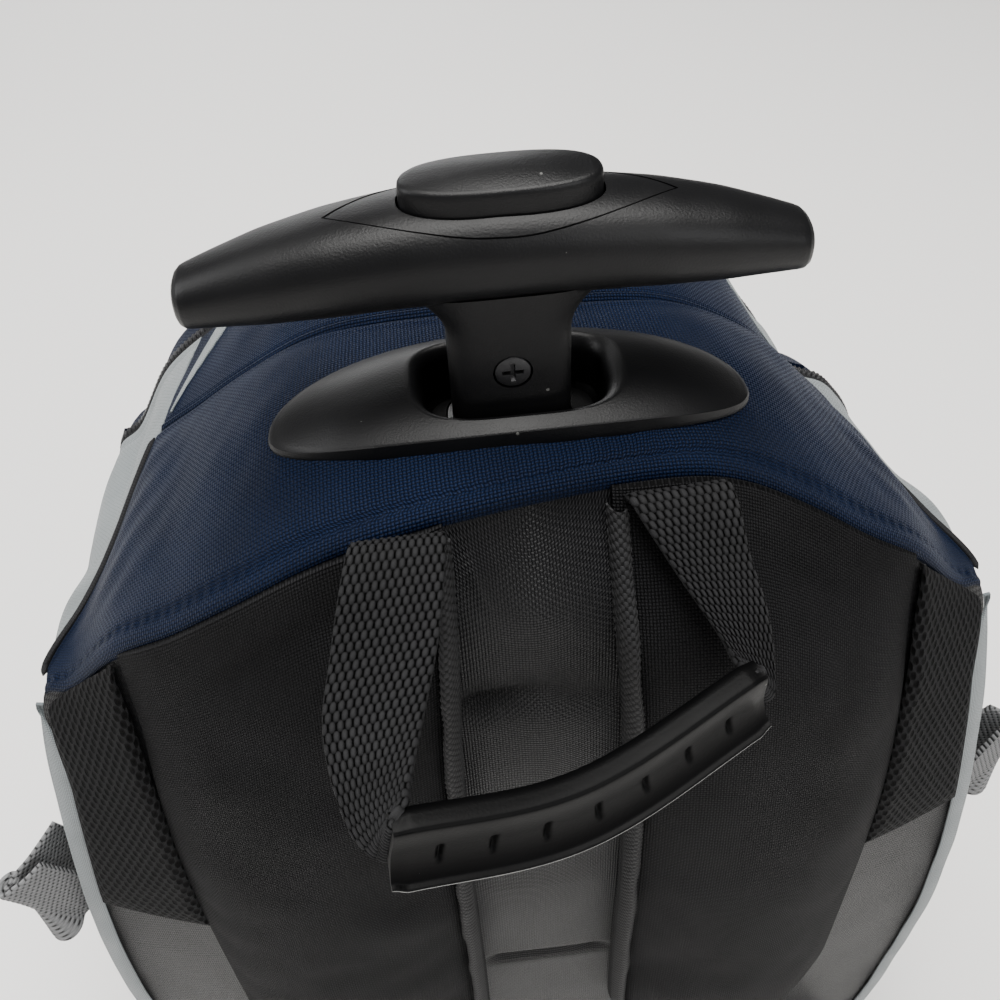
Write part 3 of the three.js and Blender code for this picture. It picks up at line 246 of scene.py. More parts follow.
def slump(points):
    """Moves points as the filled-out form has sunk: the sides dent in towards the front, most on the right,
    the top sags ahead of the handle, and the back seam is skewed a little."""
    x, y, z = np.moveaxis(np.asarray(points, float), -1, 0)
    right = DENT_RIGHT * mound(z, DENT_RIGHT_Z, DENT_RIGHT_SPREAD) * soft_step(4, 84, y)
    left = DENT_LEFT * mound(z, DENT_LEFT_Z, DENT_LEFT_SPREAD) * soft_step(2, 52, y)
    dent = np.where(x > 0, right, left)
    dent = dent * (1 + 0.5 * soft_step(100, 126, y)) * soft_step(60, 100, np.abs(x))
    sag = SAG + SAG_MORE * mound(x, SAG_MORE_X, SAG_SPREAD)
    sag = sag * soft_step(60, 114, y) * soft_step(330, 425, z)
    seam_y, seam_z = arch(x)
    skew = 10 * mound(x, 50, 45) + 2 * mound(x, 0, 30) - 4.5 * mound(x, -65, 35)
    skew = skew * (1 - soft_step(0, 16 + 25 * soft_step(25, 45, np.abs(x)), y - seam_y))
    skew = skew * (1 - soft_step(0, 40, seam_z - z))
    return np.stack([x - np.sign(x) * DENT_INWARD * dent, y + skew, z - DENT_DOWN * dent - sag], axis=-1)


def ripple(a, b, seed, pitch=30):
    """Slow, uneven waves between about -1 and 1 for cloth that isn't quite flat."""
    draw = np.random.default_rng(seed)
    total = 0
    for size in (1, 0.7, 0.5, 0.35):
        angle, phase = draw.uniform(0, math.tau, 2)
        total = total + size * np.sin(
            (a * math.cos(angle) + b * math.sin(angle)) * math.tau / (pitch * size) + phase)
    return total / 2


def piece_from(name, points, faces, material, body="root", across=None, along=None, sharp=40):
    """An object from points in millimetres round the handle's axis. across and along are each point's
    place on the cloth in millimetres, which the weaves follow."""
    mesh = bpy.data.meshes.new(name)
    placed = np.asarray(points, float).reshape(-1, 3) * MM
    placed[:, 1] += AXIS_Y
    mesh.from_pydata(placed.tolist(), [], faces if isinstance(faces, list) else faces.tolist())
    if across is not None:
        layer = mesh.uv_layers.new(name="cloth")
        corner = np.empty(len(mesh.loops), int)
        mesh.loops.foreach_get("vertex_index", corner)
        flat = np.stack([np.ravel(across), np.ravel(along)], axis=1) * MM
        layer.data.foreach_set("uv", flat[corner].ravel())
    grid = bmesh.new()
    grid.from_mesh(mesh)
    bmesh.ops.delete(grid, geom=[vert for vert in grid.verts if not vert.link_faces], context="VERTS")
    bmesh.ops.recalc_face_normals(grid, faces=grid.faces)
    grid.to_mesh(mesh)
    grid.free()
    mesh.shade_smooth()
    mesh.set_sharp_from_angle(angle=math.radians(sharp))
    mesh.materials.append(material)
    piece = bpy.data.objects.new(name, mesh)
    bpy.context.scene.collection.objects.link(piece)
    if body:
        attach(piece, body)
    return piece


def lengths(grid, axis):
    steps = np.linalg.norm(np.diff(grid, axis=axis), axis=2)
    run = np.cumsum(steps, axis=axis)
    start = np.zeros_like(run[:, :1]) if axis == 1 else np.zeros_like(run[:1])
    return np.concatenate([start, run], axis=axis)


def sheet_faces(columns, rows, keep=None):
    """Faces of two grids of points, one over the other, closed round the rim and round any hole."""
    at = np.arange((rows + 1) * (columns + 1)).reshape(rows + 1, columns + 1)
    corners = np.stack([at[:-1, :-1], at[:-1, 1:], at[1:, 1:], at[1:, :-1]], axis=-1)
    kept = np.ones((rows, columns), bool) if keep is None else keep
    beside = np.pad(kept, 1)
    under = at.size
    sides = []
    for k, (row, column) in enumerate(((-1, 0), (0, 1), (1, 0), (0, -1))):
        rim = kept & ~beside[1 + row:rows + 1 + row, 1 + column:columns + 1 + column]
        start, end = corners[rim][:, k], corners[rim][:, (k + 1) % 4]
        sides.append(np.stack([end, start, start + under, end + under], axis=1))
    top = corners[kept]
    return np.vstack([top, top[:, ::-1] + under, *sides])


def cloth_sheet(name, face, wall, columns, rows, material, middle=BAG_MIDDLE, hole=None, **more):
    """A sheet whose outer face is face(u, v), with its inner face a wall behind it. hole tells for the
    middles of its cells which are left out."""
    u, v = np.meshgrid(np.linspace(0, 1, columns + 1), np.linspace(0, 1, rows + 1))
    outer = slump(face(u, v))
    normal = np.cross(np.gradient(outer, axis=1), np.gradient(outer, axis=0))
    normal /= np.linalg.norm(normal, axis=2, keepdims=True) + 1e-9
    if (normal * (outer - middle)).sum() < 0:
        normal = -normal
    across = lengths(outer, 1)
    across -= across[:, columns // 2][:, None]
    along = lengths(outer, 0)
    points = np.vstack([outer.reshape(-1, 3), (outer - normal * wall).reshape(-1, 3)])
    centres = (outer[:-1, :-1] + outer[1:, 1:]) / 2
    keep = None if hole is None else ~hole(centres)
    return piece_from(name, points, sheet_faces(columns, rows, keep), material,
                      across=np.tile(across.ravel(), 2), along=np.tile(along.ravel(), 2), **more)


def new_group(name, inputs, outputs):
    tree = bpy.data.node_groups.new(name, "ShaderNodeTree")
    for label, kind, value in inputs:
        socket = tree.interface.new_socket(label, in_out="INPUT", socket_type=kind)
        if value is not None:
            socket.default_value = value
    for label in outputs:
        tree.interface.new_socket(label, in_out="OUTPUT", socket_type="NodeSocketFloat")
    return tree, tree.nodes.new("NodeGroupInput").outputs, tree.nodes.new("NodeGroupOutput").inputs


# Plain weave, as threads that pass over and under each other
weave_group, given, result = new_group("plain_weave", [
    ("Cloth", "NodeSocketVector", None), ("Thread", "NodeSocketFloat", 0.0008),
    ("Unevenness", "NodeSocketFloat", 0.25),
], ["Height", "Over", "Patches"])
wobble = weave_group.nodes.new("ShaderNodeTexNoise")
wobble.inputs["Scale"].default_value = 420
wobble.inputs["Detail"].default_value = 1
weave_group.links.new(given["Cloth"], wobble.inputs["Vector"])
drift = calc(weave_group, "MULTIPLY", calc(weave_group, "SUBTRACT", wobble.outputs["Fac"], 0.5),
             given["Unevenness"])
split = weave_group.nodes.new("ShaderNodeSeparateXYZ")
weave_group.links.new(given["Cloth"], split.inputs[0])
waves = []
for place in split.outputs[:2]:
    threads = calc(weave_group, "ADD", calc(weave_group, "DIVIDE", place, given["Thread"]), drift)
    waves.append(calc(weave_group, "SINE", calc(weave_group, "MULTIPLY", threads, math.pi)))
swells = [calc(weave_group, "ABSOLUTE", wave) for wave in waves]
over = calc(weave_group, "GREATER_THAN", calc(weave_group, "MULTIPLY", *waves), 0.0)
ridges = [calc(weave_group, "MULTIPLY", near, calc(weave_group, "MULTIPLY_ADD", far, 0.5, 0.5))
          for near, far in (swells, swells[::-1])]
raised = calc(weave_group, "ADD", ridges[1], calc(
    weave_group, "MULTIPLY", over, calc(weave_group, "SUBTRACT", ridges[0], ridges[1])))
patches = weave_group.nodes.new("ShaderNodeTexNoise")
patches.inputs["Scale"].default_value = 38
patches.inputs["Detail"].default_value = 4
weave_group.links.new(given["Cloth"], patches.inputs["Vector"])
weave_group.links.new(raised, result["Height"])
weave_group.links.new(over, result["Over"])
weave_group.links.new(patches.outputs["Fac"], result["Patches"])


def use_group(tree, group, vector, **values):
    node = tree.nodes.new("ShaderNodeGroup")
    node.node_tree = group
    tree.links.new(vector, node.inputs[0])
    for label, value in values.items():
        node.inputs[label.replace("_", " ")].default_value = value
    return node.outputs


def blend_color(tree, factor, low, high):
    node = tree.nodes.new("ShaderNodeMix")
    node.data_type = "RGBA"
    tree.links.new(factor, node.inputs["Factor"])
    for socket, value in ((node.inputs["A"], low), (node.inputs["B"], high)):
        if isinstance(value, tuple):
            socket.default_value = (*value, 1)
        else:
            tree.links.new(value, socket)
    return node.outputs["Result"]


def add_bump(tree, shader, height, depth, strength=1.0):
    bump = tree.nodes.new("ShaderNodeBump")
    bump.inputs["Distance"].default_value = depth
    bump.inputs["Strength"].default_value = strength
    tree.links.new(height, bump.inputs["Height"])
    tree.links.new(bump.outputs["Normal"], shader.inputs["Normal"])


def on_cloth(tree):
    place = tree.nodes.new("ShaderNodeUVMap")
    place.uv_map = "cloth"
    return place.outputs["UV"]


def woven(name, dark, light, thread, depth, roughness, sheen=0.0, sheen_tint=(1, 1, 1), unevenness=0.25,
          gloss=0.22):
    """Cloth of a plain weave: painted shade darkens it between its threads and painted light lightens the
    thread tops.
    """
    material, tree, shader = new_material(name, dark, roughness)
    weave = use_group(tree, weave_group, on_cloth(tree), Thread=thread, Unevenness=unevenness)
    # lit is painted light on the thread tops; the low parts between the threads go dark as painted shade,
    # varied by the patches.
    lit = calc(tree, "MULTIPLY", calc(tree, "POWER", weave["Height"], 1.6),
               calc(tree, "MULTIPLY_ADD", weave["Patches"], 1.1, 0.3))
    tree.links.new(blend_color(tree, lit, dark, light), shader.inputs["Base Color"])
    rough = calc(tree, "MULTIPLY_ADD", weave["Over"], -0.08, roughness + 0.04)
    tree.links.new(rough, shader.inputs["Roughness"])
    shader.inputs["Specular IOR Level"].default_value = gloss
    shader.inputs["Sheen Weight"].default_value = sheen
    shader.inputs["Sheen Roughness"].default_value = 0.4
    shader.inputs["Sheen Tint"].default_value = (*sheen_tint, 1)
    add_bump(tree, shader, weave["Height"], depth)
    return material


back_nylon = woven("shiny_back_nylon", (0.0008, 0.0008, 0.001), (0.022, 0.022, 0.0235), 0.00078, 0.00026,
                   0.36, gloss=0.11)
CHANNEL_HALF = 21
# Puffs of the channel by how far out they stand, height and spread
CHANNEL_PUFFS = ((3.0, 420, 15), (2.4, 362, 26), (2.2, 285, 34))
CHANNEL_SINK = 1.2
CREASE_Z, BAND_Z, PLEAT_Z = 392, 239, 431


def back_face(u, v):
    edge = seam_at(0.5 + 0.5 * v ** 1.3)
    x = (2 * u - 1) * edge[..., 0]
    z = edge[..., 2]
    inside = 1 - soft_step(CHANNEL_HALF - 6, CHANNEL_HALF + 4, np.abs(x))
    puff = sum(out * mound(z, height, spread) for out, height, spread in CHANNEL_PUFFS) - CHANNEL_SINK
    crease = 2.6 * mound(z, CREASE_Z + 0.25 * x, 3.5) * soft_step(14, -18, x)
    crease = crease + 1.5 * mound(z, CREASE_Z - 4 - 0.1 * x, 5)
    band = 2.6 * mound(z, BAND_Z, 3)
    pleat = 1.3 * mound(x + 13 + (z - PLEAT_Z) * 0.2, 0, 2.2) * mound(z, PLEAT_Z - 1, 7)
    rest = 0.5 * ripple(x, z, 3, 60)
    free = soft_step(1, 12, arch(x)[1] - z)
    y = back_y(x, z) - free * (inside * (puff - crease - band + pleat) + rest * 0.4)
    return np.stack([x, y, z], axis=-1)


back = cloth_sheet("back_cloth", back_face, 2.4, 220, 260, back_nylon)
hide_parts("back_panel")


# Spacer mesh. A springy knit with round holes pads each upper corner of the back, sewn in along the
# seam and hemmed where the smooth nylon goes on below it.
staggered_group, given, result = new_group("staggered_spots", [
    ("Cloth", "NodeSocketVector", None), ("Pitch Across", "NodeSocketFloat", 0.0017),
    ("Pitch Along", "NodeSocketFloat", 0.004), ("Half Across", "NodeSocketFloat", 0.35),
    ("Half Along", "NodeSocketFloat", 0.29),
], ["Height", "Row"])
split = staggered_group.nodes.new("ShaderNodeSeparateXYZ")
staggered_group.links.new(given["Cloth"], split.inputs[0])
steps = [calc(staggered_group, "DIVIDE", split.outputs[0], given["Pitch Across"]),
         calc(staggered_group, "DIVIDE", split.outputs[1], given["Pitch Along"])]
spots = []
for shift in (0.0, 0.5):
    reach_squared = []
    for step, half in zip(steps, (given["Half Across"], given["Half Along"])):
        inside = calc(staggered_group, "SUBTRACT",
                      calc(staggered_group, "FRACT", calc(staggered_group, "ADD", step, shift + 64)), 0.5)
        share = calc(staggered_group, "DIVIDE", calc(staggered_group, "ABSOLUTE", inside), half)
        reach_squared.append(calc(staggered_group, "POWER", share, 2.4))
    left = calc(staggered_group, "SUBTRACT", 1.0, calc(staggered_group, "ADD", *reach_squared))
    spots.append(calc(staggered_group, "POWER", calc(staggered_group, "MAXIMUM", left, 0.0), 0.5))
staggered_group.links.new(calc(staggered_group, "MAXIMUM", *spots), result["Height"])
staggered_group.links.new(calc(staggered_group, "GREATER_THAN", spots[0], spots[1]), result["Row"])

mesh_cloth, tree, shader = new_material("spacer_mesh", (0.016, 0.016, 0.017), 0.8)
holes = use_group(tree, staggered_group, on_cloth(tree), Pitch_Across=0.0031, Pitch_Along=0.0054,
                  Half_Across=0.33, Half_Along=0.30)
yarn = use_group(tree, weave_group, on_cloth(tree), Thread=0.00042)
# Painted shade: the knit is darker between its yarns and lighter on them, and the holes are painted
# near-black as the shade inside them.
knit = blend_color(tree, yarn["Height"], (0.002, 0.002, 0.0022), (0.026, 0.026, 0.0272))
hole_shade_color = (0.0002, 0.0002, 0.0002)
tree.links.new(blend_color(tree, holes["Height"], knit, hole_shade_color), shader.inputs["Base Color"])
shader.inputs["Specular IOR Level"].default_value = 0.08
depth = calc(tree, "MULTIPLY_ADD", holes["Height"], -4.5, calc(tree, "MULTIPLY", yarn["Height"], 0.5))
add_bump(tree, shader, depth, 0.0003)

MESH_X = 108
MESH_HEM_Z = 271
MESH_INSET = 2.2
MESH_RIM, MESH_FULL = 1.3, 3.2
PAD_LIFT = 0.8
SIDES = [(-1, "left"), (1, "right")]
tip_z = down_seam[tip_place, 2]
for side, word in SIDES:
    def mesh_face(u, v):
        outer_z = MESH_HEM_Z + (tip_z - MESH_INSET - MESH_HEM_Z) * v
        outer_x = edge_at_height(outer_z)[0] - MESH_INSET - 4 * soft_step(tip_z - 4, tip_z - 34, outer_z)
        x = MESH_X + (outer_x - MESH_X) * u
        inner_z = MESH_HEM_Z + (arch(np.array(MESH_X))[1] - 3 - MESH_HEM_Z) * v
        z = inner_z + (outer_z - inner_z) * u
        rim = np.clip(np.minimum.reduce([u, 1 - u, v, 1 - v]) * 9, 0, 1)
        full = MESH_RIM + MESH_FULL * rim ** 0.5 + 0.5 * ripple(x, z, 11, 34) * rim
        return np.stack([side * x, back_y(x, z) - PAD_LIFT - full, z], axis=-1)

    pad = cloth_sheet(f"spacer_pad_{word}", mesh_face, 1.6, 60, 150, mesh_cloth)
    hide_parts(f"mesh_pad_{word}")


# Shoulder straps. Two foam pads in matt black weave lie flat on the back, sewn in under the yoke and
# narrowing to a buckle at the base. The foam is blown up by a short cloth simulation.
strap_cloth = woven("strap_cloth", (0.0003, 0.0003, 0.0004), (0.015, 0.015, 0.0162), 0.00085, 0.0003, 0.7,
                    gloss=0.06)
STRAP_X = 62
STRAP_SPREAD = 12
STRAP_HALF = 43
STRAP_END_Z = 112
STRAP_LENGTH = 330
STRAP_TUCK = 1.2
STRAP_SWAY = 2.5
STRAP_SEWN, STRAP_RIM, STRAP_FULL = 2.6, 4, 7
PAD_PRESSURE, PAD_CAP = 3.0, 2.0


def strap_half(down):
    return STRAP_HALF * (1 - 0.42 * soft_step(0.72, 1, down))


def strap_place(across, down):
    sway = STRAP_SWAY * np.sin(down * 5.5) * soft_step(0, 0.2, down)
    x = STRAP_X + STRAP_SPREAD * down ** 2 + across * strap_half(down) + sway
    return x, arch(x)[1] - STRAP_TUCK + (STRAP_END_Z - arch(x)[1] + STRAP_TUCK) * down


def strap_wall(across, down):
    padded = STRAP_RIM + STRAP_FULL * (1 - across ** 4)
    open_up = soft_step(0, 0.16, down) * (1 - 0.5 * soft_step(0.93, 1, down))
    return STRAP_SEWN + (padded - STRAP_SEWN) * open_up


def inflate(piece, sewn, pressure, cap, frames=14):
    """Lets cloth under pressure round a closed pad. Its sewn points stay, the others move a cap at most."""
    scene = bpy.context.scene
    mesh = piece.data
    before = np.empty(len(mesh.vertices) * 3)
    mesh.vertices.foreach_get("co", before)
    before = before.reshape(-1, 3)
    held = piece.vertex_groups.new(name="sewn")
    held.add(sewn, 1.0, "REPLACE")
    cloth = piece.modifiers.new("cloth", "CLOTH")
    cloth.settings.vertex_group_mass = "sewn"
    cloth.settings.use_pressure = True
    cloth.settings.uniform_pressure_force = pressure
    cloth.settings.effector_weights.gravity = 0
    cloth.settings.tension_stiffness = 25
    cloth.settings.bending_stiffness = 0.5
    cloth.point_cache.frame_end = frames
    for number in range(1, frames + 1):
        scene.frame_set(number)
    posed = piece.evaluated_get(bpy.context.evaluated_depsgraph_get())
    after = np.empty(len(mesh.vertices) * 3)
    posed.data.vertices.foreach_get("co", after)
    piece.modifiers.clear()
    piece.vertex_groups.clear()
    scene.frame_set(1)
    move = after.reshape(-1, 3) - before
    far = np.linalg.norm(move, axis=1, keepdims=True) + 1e-12
    mesh.vertices.foreach_set("co", (before + move * np.minimum(1, cap * MM / far)).ravel())
    smooth = piece.modifiers.new("smooth", "SUBSURF")
    smooth.levels = 1
    bpy.context.view_layer.update()
    piece.data = bpy.data.meshes.new_from_object(piece.evaluated_get(bpy.context.evaluated_depsgraph_get()))
    piece.modifiers.clear()
    piece.data.shade_smooth()


def pad_floor(x, z):
    return back_y(x, z) - PAD_LIFT


PAD_COLUMNS = 30
PAD_ROWS = 110
for side, word in SIDES:
    def strap_face(u, v):
        across = np.sin((2 * u - 1) * math.pi / 2)
        x, z = strap_place(across, v)
        wall = strap_wall(across, v) * (1 - 0.55 * np.abs(across) ** 10)
        slack = soft_step(0.03, 0.16, v) * (1 - across ** 4)
        wall += slack * (
            0.7 * ripple(x, z, 20 + side, 80) + 0.45 * ripple(x + 0.6 * z, 0.5 * z, 24 + side, 34))
        dent = 1.4 * mound(v, 0.05 + 0.02 * across, 0.012) * (1 - across ** 2)
        return np.stack([side * x, pad_floor(x, z) - wall + dent, z], axis=-1)

    u, v = np.meshgrid(np.linspace(0, 1, PAD_COLUMNS + 1), np.linspace(0, 1, PAD_ROWS + 1))
    outer = strap_face(u, v)
    inner = outer.copy()
    inner[..., 1] = pad_floor(np.abs(inner[..., 0]), inner[..., 2])
    outer, inner = slump(outer), slump(inner)
    strap = piece_from(
        f"shoulder_pad_{word}", np.vstack([outer.reshape(-1, 3), inner.reshape(-1, 3)]),
        sheet_faces(PAD_COLUMNS, PAD_ROWS), strap_cloth,
        across=np.tile(lengths(outer, 1).ravel(), 2), along=np.tile(lengths(outer, 0).ravel(), 2))
    rim = (u < 0.02) | (u > 0.98) | (v < 0.02) | (v > 0.99)
    sewn = [*np.flatnonzero(rim), *range(outer.size // 3, 2 * outer.size // 3)]
    inflate(strap, [int(number) for number in sewn], PAD_PRESSURE, PAD_CAP)
    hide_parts(f"shoulder_strap_{word}")


# Binding tape. A knitted tape with looped edges is folded over each strap's inner edge and stitched
# down, so that a serrated line runs down both sides of the channel.
tape_knit, tree, shader = new_material("binding_tape", (0.012, 0.012, 0.013), 0.7)
loops = use_group(tree, staggered_group, on_cloth(tree), Pitch_Across=0.0021, Pitch_Along=0.0022,
                  Half_Across=0.36, Half_Along=0.34)
# The loops' tops are painted lighter as painted light and the gaps between them darker as painted shade.
tree.links.new(blend_color(tree, loops["Height"], (0.0008, 0.0008, 0.001), (0.017, 0.017, 0.018)),
               shader.inputs["Base Color"])
shader.inputs["Specular IOR Level"].default_value = 0.2
add_bump(tree, shader, loops["Height"], 0.0003)
TAPE_WIDTH = 4.6
TAPE_LOOP = 2.2
TAPE_START, TAPE_SPAN = 0.012, 0.955

for side, word in SIDES:
    def tape_face(u, v):
        down = TAPE_START + TAPE_SPAN * v
        half = strap_half(down)
        run = down * STRAP_LENGTH
        edge = -1 - 1.3 / half
        scallop = 0.35 * np.abs(np.sin(run * math.pi / TAPE_LOOP))
        wide = TAPE_WIDTH + 0.6 * ripple(run, 0 * run, 41 + side, 40)
        across = edge + (u * wide + np.where(u > 0.5, scallop, -scallop) * (2 * np.abs(u - 0.5)) ** 6) / half
        x, z = strap_place(across, down)
        over = np.sin(np.clip(u * 1.35, 0, 1) * math.pi / 2) ** 0.6
        wall = strap_wall(np.clip(across, -1, 1), down) * over + 1.1 * np.sin(math.pi * u) ** 0.5 + 0.5
        return np.stack([side * x, back_y(x, z) - 0.9 - wall, z], axis=-1)

    tape = cloth_sheet(f"binding_tape_{word}", tape_face, 0.5, 8, 900, tape_knit)
    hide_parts(f"strap_binding_{word}")


# Yoke. A navy polyester weave covers the top between the back seam and the front seam. Its back edge is
# folded under and topstitched, so it rolls over the black back, and its corners are drawn into points.
navy_cloth = woven("navy_weave", (0.0004, 0.0009, 0.003), (0.005, 0.0115, 0.035), 0.00092, 0.00026, 0.5,
                   sheen=0.03, sheen_tint=(0.4, 0.56, 1.0), gloss=0.05)
FABRIC = 2.4
TIP_X, TIP_Y = 136, 0
JOIN_X, JOIN_Y = 103, 57
SEAM_MID_Y = 35
SEAM_POWER = 1.6
RIM_Z = 450
BEZEL_HALF = 58.2
BEZEL_DROOP = 7
BEZEL_RIM = 3
ROLL = 3.2
ROLL_SHARE = 0.12
ROLL_TURN = math.radians(125)
YOKE_LIFT = 1.4
STITCH = 3.4
COLLAR_HALF, COLLAR_HALF_DEEP = 24, 15


def rim_z(x):
    return RIM_Z - BEZEL_DROOP * np.abs(x / BEZEL_HALF) ** 2.5


CROWN_BLUR = np.exp(-(np.arange(-24, 25) / 11) ** 2)
crown_x = np.arange(-180, 181) * 1.0
crown_reach = np.minimum(np.abs(crown_x), BEZEL_HALF)
crown_tall = (rim_z(crown_reach) - BEZEL_RIM - GAP * 2 - arch(crown_reach)[1]) * (
    1 - soft_step(BEZEL_HALF, TIP_X, np.abs(crown_x)))
crown_tall = np.convolve(crown_tall, CROWN_BLUR / CROWN_BLUR.sum(), mode="same")


def crown(x):
    return np.interp(x, crown_x, crown_tall)


def yoke_front_y(x):
    out = np.abs(x)
    bow = SEAM_MID_Y + (JOIN_Y - SEAM_MID_Y) * (np.minimum(out, JOIN_X) / JOIN_X) ** SEAM_POWER
    return np.where(out < JOIN_X, bow, JOIN_Y + (TIP_Y - JOIN_Y) * (out - JOIN_X) / (TIP_X - JOIN_X))


def yoke_face(u, v):
    across = np.sin((2 * u - 1) * math.pi / 2) * 0.35 + (2 * u - 1) * 0.65
    x = across * (TIP_X - GAP)
    seam_y, seam_z = arch(x)
    roll = ROLL * (1 - 0.55 * soft_step(118, TIP_X, np.abs(x)))
    back = seam_y - 1.6 + roll
    on_top = np.clip((v - ROLL_SHARE) / (1 - ROLL_SHARE), 0, 1)
    y = back + (yoke_front_y(x) - GAP - back) * on_top
    z = seam_z + YOKE_LIFT + crown(x) * np.sin(math.pi * np.clip(on_top, 0, 1)) ** 0.6
    turn = np.clip(1 - v / ROLL_SHARE, 0, 1) * ROLL_TURN
    y = np.where(v < ROLL_SHARE, back - roll * np.sin(turn), y)
    z = np.where(v < ROLL_SHARE, seam_z + YOKE_LIFT - roll * (1 - np.cos(turn)), z)
    inward = y - back
    sewn = mound(inward, 1.6, 1.3) * (0.35 + 0.5 * mound((x / STITCH) % 1, 0.5, 0.25))
    z = z - sewn - 0.9 * mound(yoke_front_y(x) - y, 0, 1.2) + 0.5 * mound(yoke_front_y(x) - y, 3, 1.5)
    soft = soft_step(4, 20, inward) * soft_step(0, 18, yoke_front_y(x) - y)
    z = z + soft * (0.5 * ripple(x, y, 51, 60) + 0.25 * ripple(x, y, 52, 26))
    pull = mound(np.abs(x), 112, 16) * np.sin((np.abs(x) * 0.5 + y) * 0.42) * soft
    return np.stack([x, y, z + 0.55 * pull], axis=-1)


def round_pocket(centres):
    across = np.abs(centres[..., 0] / (COLLAR_HALF + 0.5))
    ahead = np.abs(centres[..., 1] / (COLLAR_HALF_DEEP + 0.5))
    return across ** 4 + ahead ** 4 < 1


yoke = cloth_sheet("navy_yoke", yoke_face, 1.1, 420, 130, navy_cloth, hole=round_pocket)
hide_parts("top_panel")


# Front of the top. The same navy cloth goes on to the zip. A fine double seam joins it to the yoke, and a
# light grey flash is sewn in near each side.
ZIP_X, ZIP_Y = 92, 100
ZIP_WIDTH = 8


def gusset_place(side_share, v):
    x = side_share * (JOIN_X + (ZIP_X - JOIN_X) * v - GAP)
    start = yoke_front_y(side_share * (JOIN_X - GAP)) + GAP / 2
    return x, start + (ZIP_Y - GAP / 2 - start) * v


def gusset_face(u, v):
    x, y = gusset_place(2 * u - 1, v)
    ahead = y - yoke_front_y(x)
    z = arch(x)[1] + 1.2 - 1.5 * mound(ahead, 0, 1.1) + 0.7 * mound(ahead, 2.2, 1.1)
    z = z - 0.6 * mound(ahead, 4.2, 0.5) + soft_step(5, 20, ahead) * 0.5 * ripple(x, y, 57, 50)
    return np.stack([x, y, z - 1.2 * soft_step(0.93, 1, v)], axis=-1)


gusset = cloth_sheet("navy_gusset", gusset_face, 1.2, 300, 90, navy_cloth)
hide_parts("front_gusset")

grey_cloth = woven("light_grey_weave", (0.1, 0.115, 0.12), (0.33, 0.355, 0.36), 0.0007, 0.00014, 0.55,
                   sheen=0.1)
FLASH_START = np.array([99, 62])
FLASH_END = np.array([79, 99])
for side, word in SIDES:
    def flash_face(u, v):
        wide = 0.8 + 8.5 * v
        x = FLASH_START[0] + (FLASH_END[0] - FLASH_START[0]) * v + (u - 0.5) * wide * 0.86
        y = FLASH_START[1] + (FLASH_END[1] - FLASH_START[1]) * v + (u - 0.5) * wide * 0.5
        edge = 0.35 * np.minimum(1, np.minimum(u, 1 - u) * 6)
        return np.stack([side * x, y, arch(x)[1] + 1.5 + edge - 1.2 * soft_step(0.93, 1, v)], axis=-1)

    flash = cloth_sheet(f"grey_flash_{word}", flash_face, 0.5, 10, 40, grey_cloth)


# Sides. Light grey cloth runs from the yoke's piping down to the base, with slack folds between its
# seams. A narrow strip of the same cloth turns round each side edge on to the back.
SIDE_BULGE = 5
SIDE_GAP = 0.75
EDGE_STRIP = 7


def along_seam(measure, value, high=1.0, start=0.0):
    """The share of the half seam at which a measure that grows along it reaches a value."""
    shares = np.linspace(start, high, 2500)
    reached = measure(seam_at(0.5 + 0.5 * shares))
    return np.interp(value, np.maximum.accumulate(reached), shares)


half_length = np.linalg.norm(np.diff(down_seam, axis=0), axis=1).sum()
tip_share = float(along_seam(lambda spot: spot[..., 0], TIP_X, 0.6))


def border_x(y):
    rear = TIP_X + (JOIN_X - TIP_X) * np.clip((y - TIP_Y) / (JOIN_Y - TIP_Y), 0, 1)
    return np.where(y < JOIN_Y, rear, JOIN_X + (ZIP_X - JOIN_X) * (y - JOIN_Y) / (ZIP_Y - JOIN_Y))


def seam_normal(share, step=0.0015):
    run = seam_at(np.minimum(0.5 + 0.5 * share + step, 1)) - seam_at(0.5 + 0.5 * share - step)
    long = np.hypot(run[..., 0], run[..., 2]) + 1e-9
    return -run[..., 2] / long, run[..., 0] / long


def side_place(side, u, v, lift=0.0):
    start = along_seam(lambda spot: spot[..., 0], border_x(TIP_Y + (ZIP_Y - TIP_Y) * v), tip_share)
    share = start + SIDE_GAP / half_length + (1 - start - SIDE_GAP / half_length) * u
    edge = seam_at(0.5 + 0.5 * (tip_share + (1 - tip_share) * u))
    point = seam_at(0.5 + 0.5 * share)
    normal_x, normal_z = seam_normal(share)
    bulge = lift + SIDE_BULGE * np.sin(math.pi * v) * np.maximum(0, np.sin(math.pi * u)) ** 1.4
    rear = TIP_Y + (edge[..., 1] + FABRIC + GAP - TIP_Y) * np.minimum(1, u * 11)
    y = rear + (ZIP_Y - GAP / 2 - rear) * v
    return np.stack([side * (point[..., 0] + normal_x * bulge), y, point[..., 2] + normal_z * bulge], axis=-1)


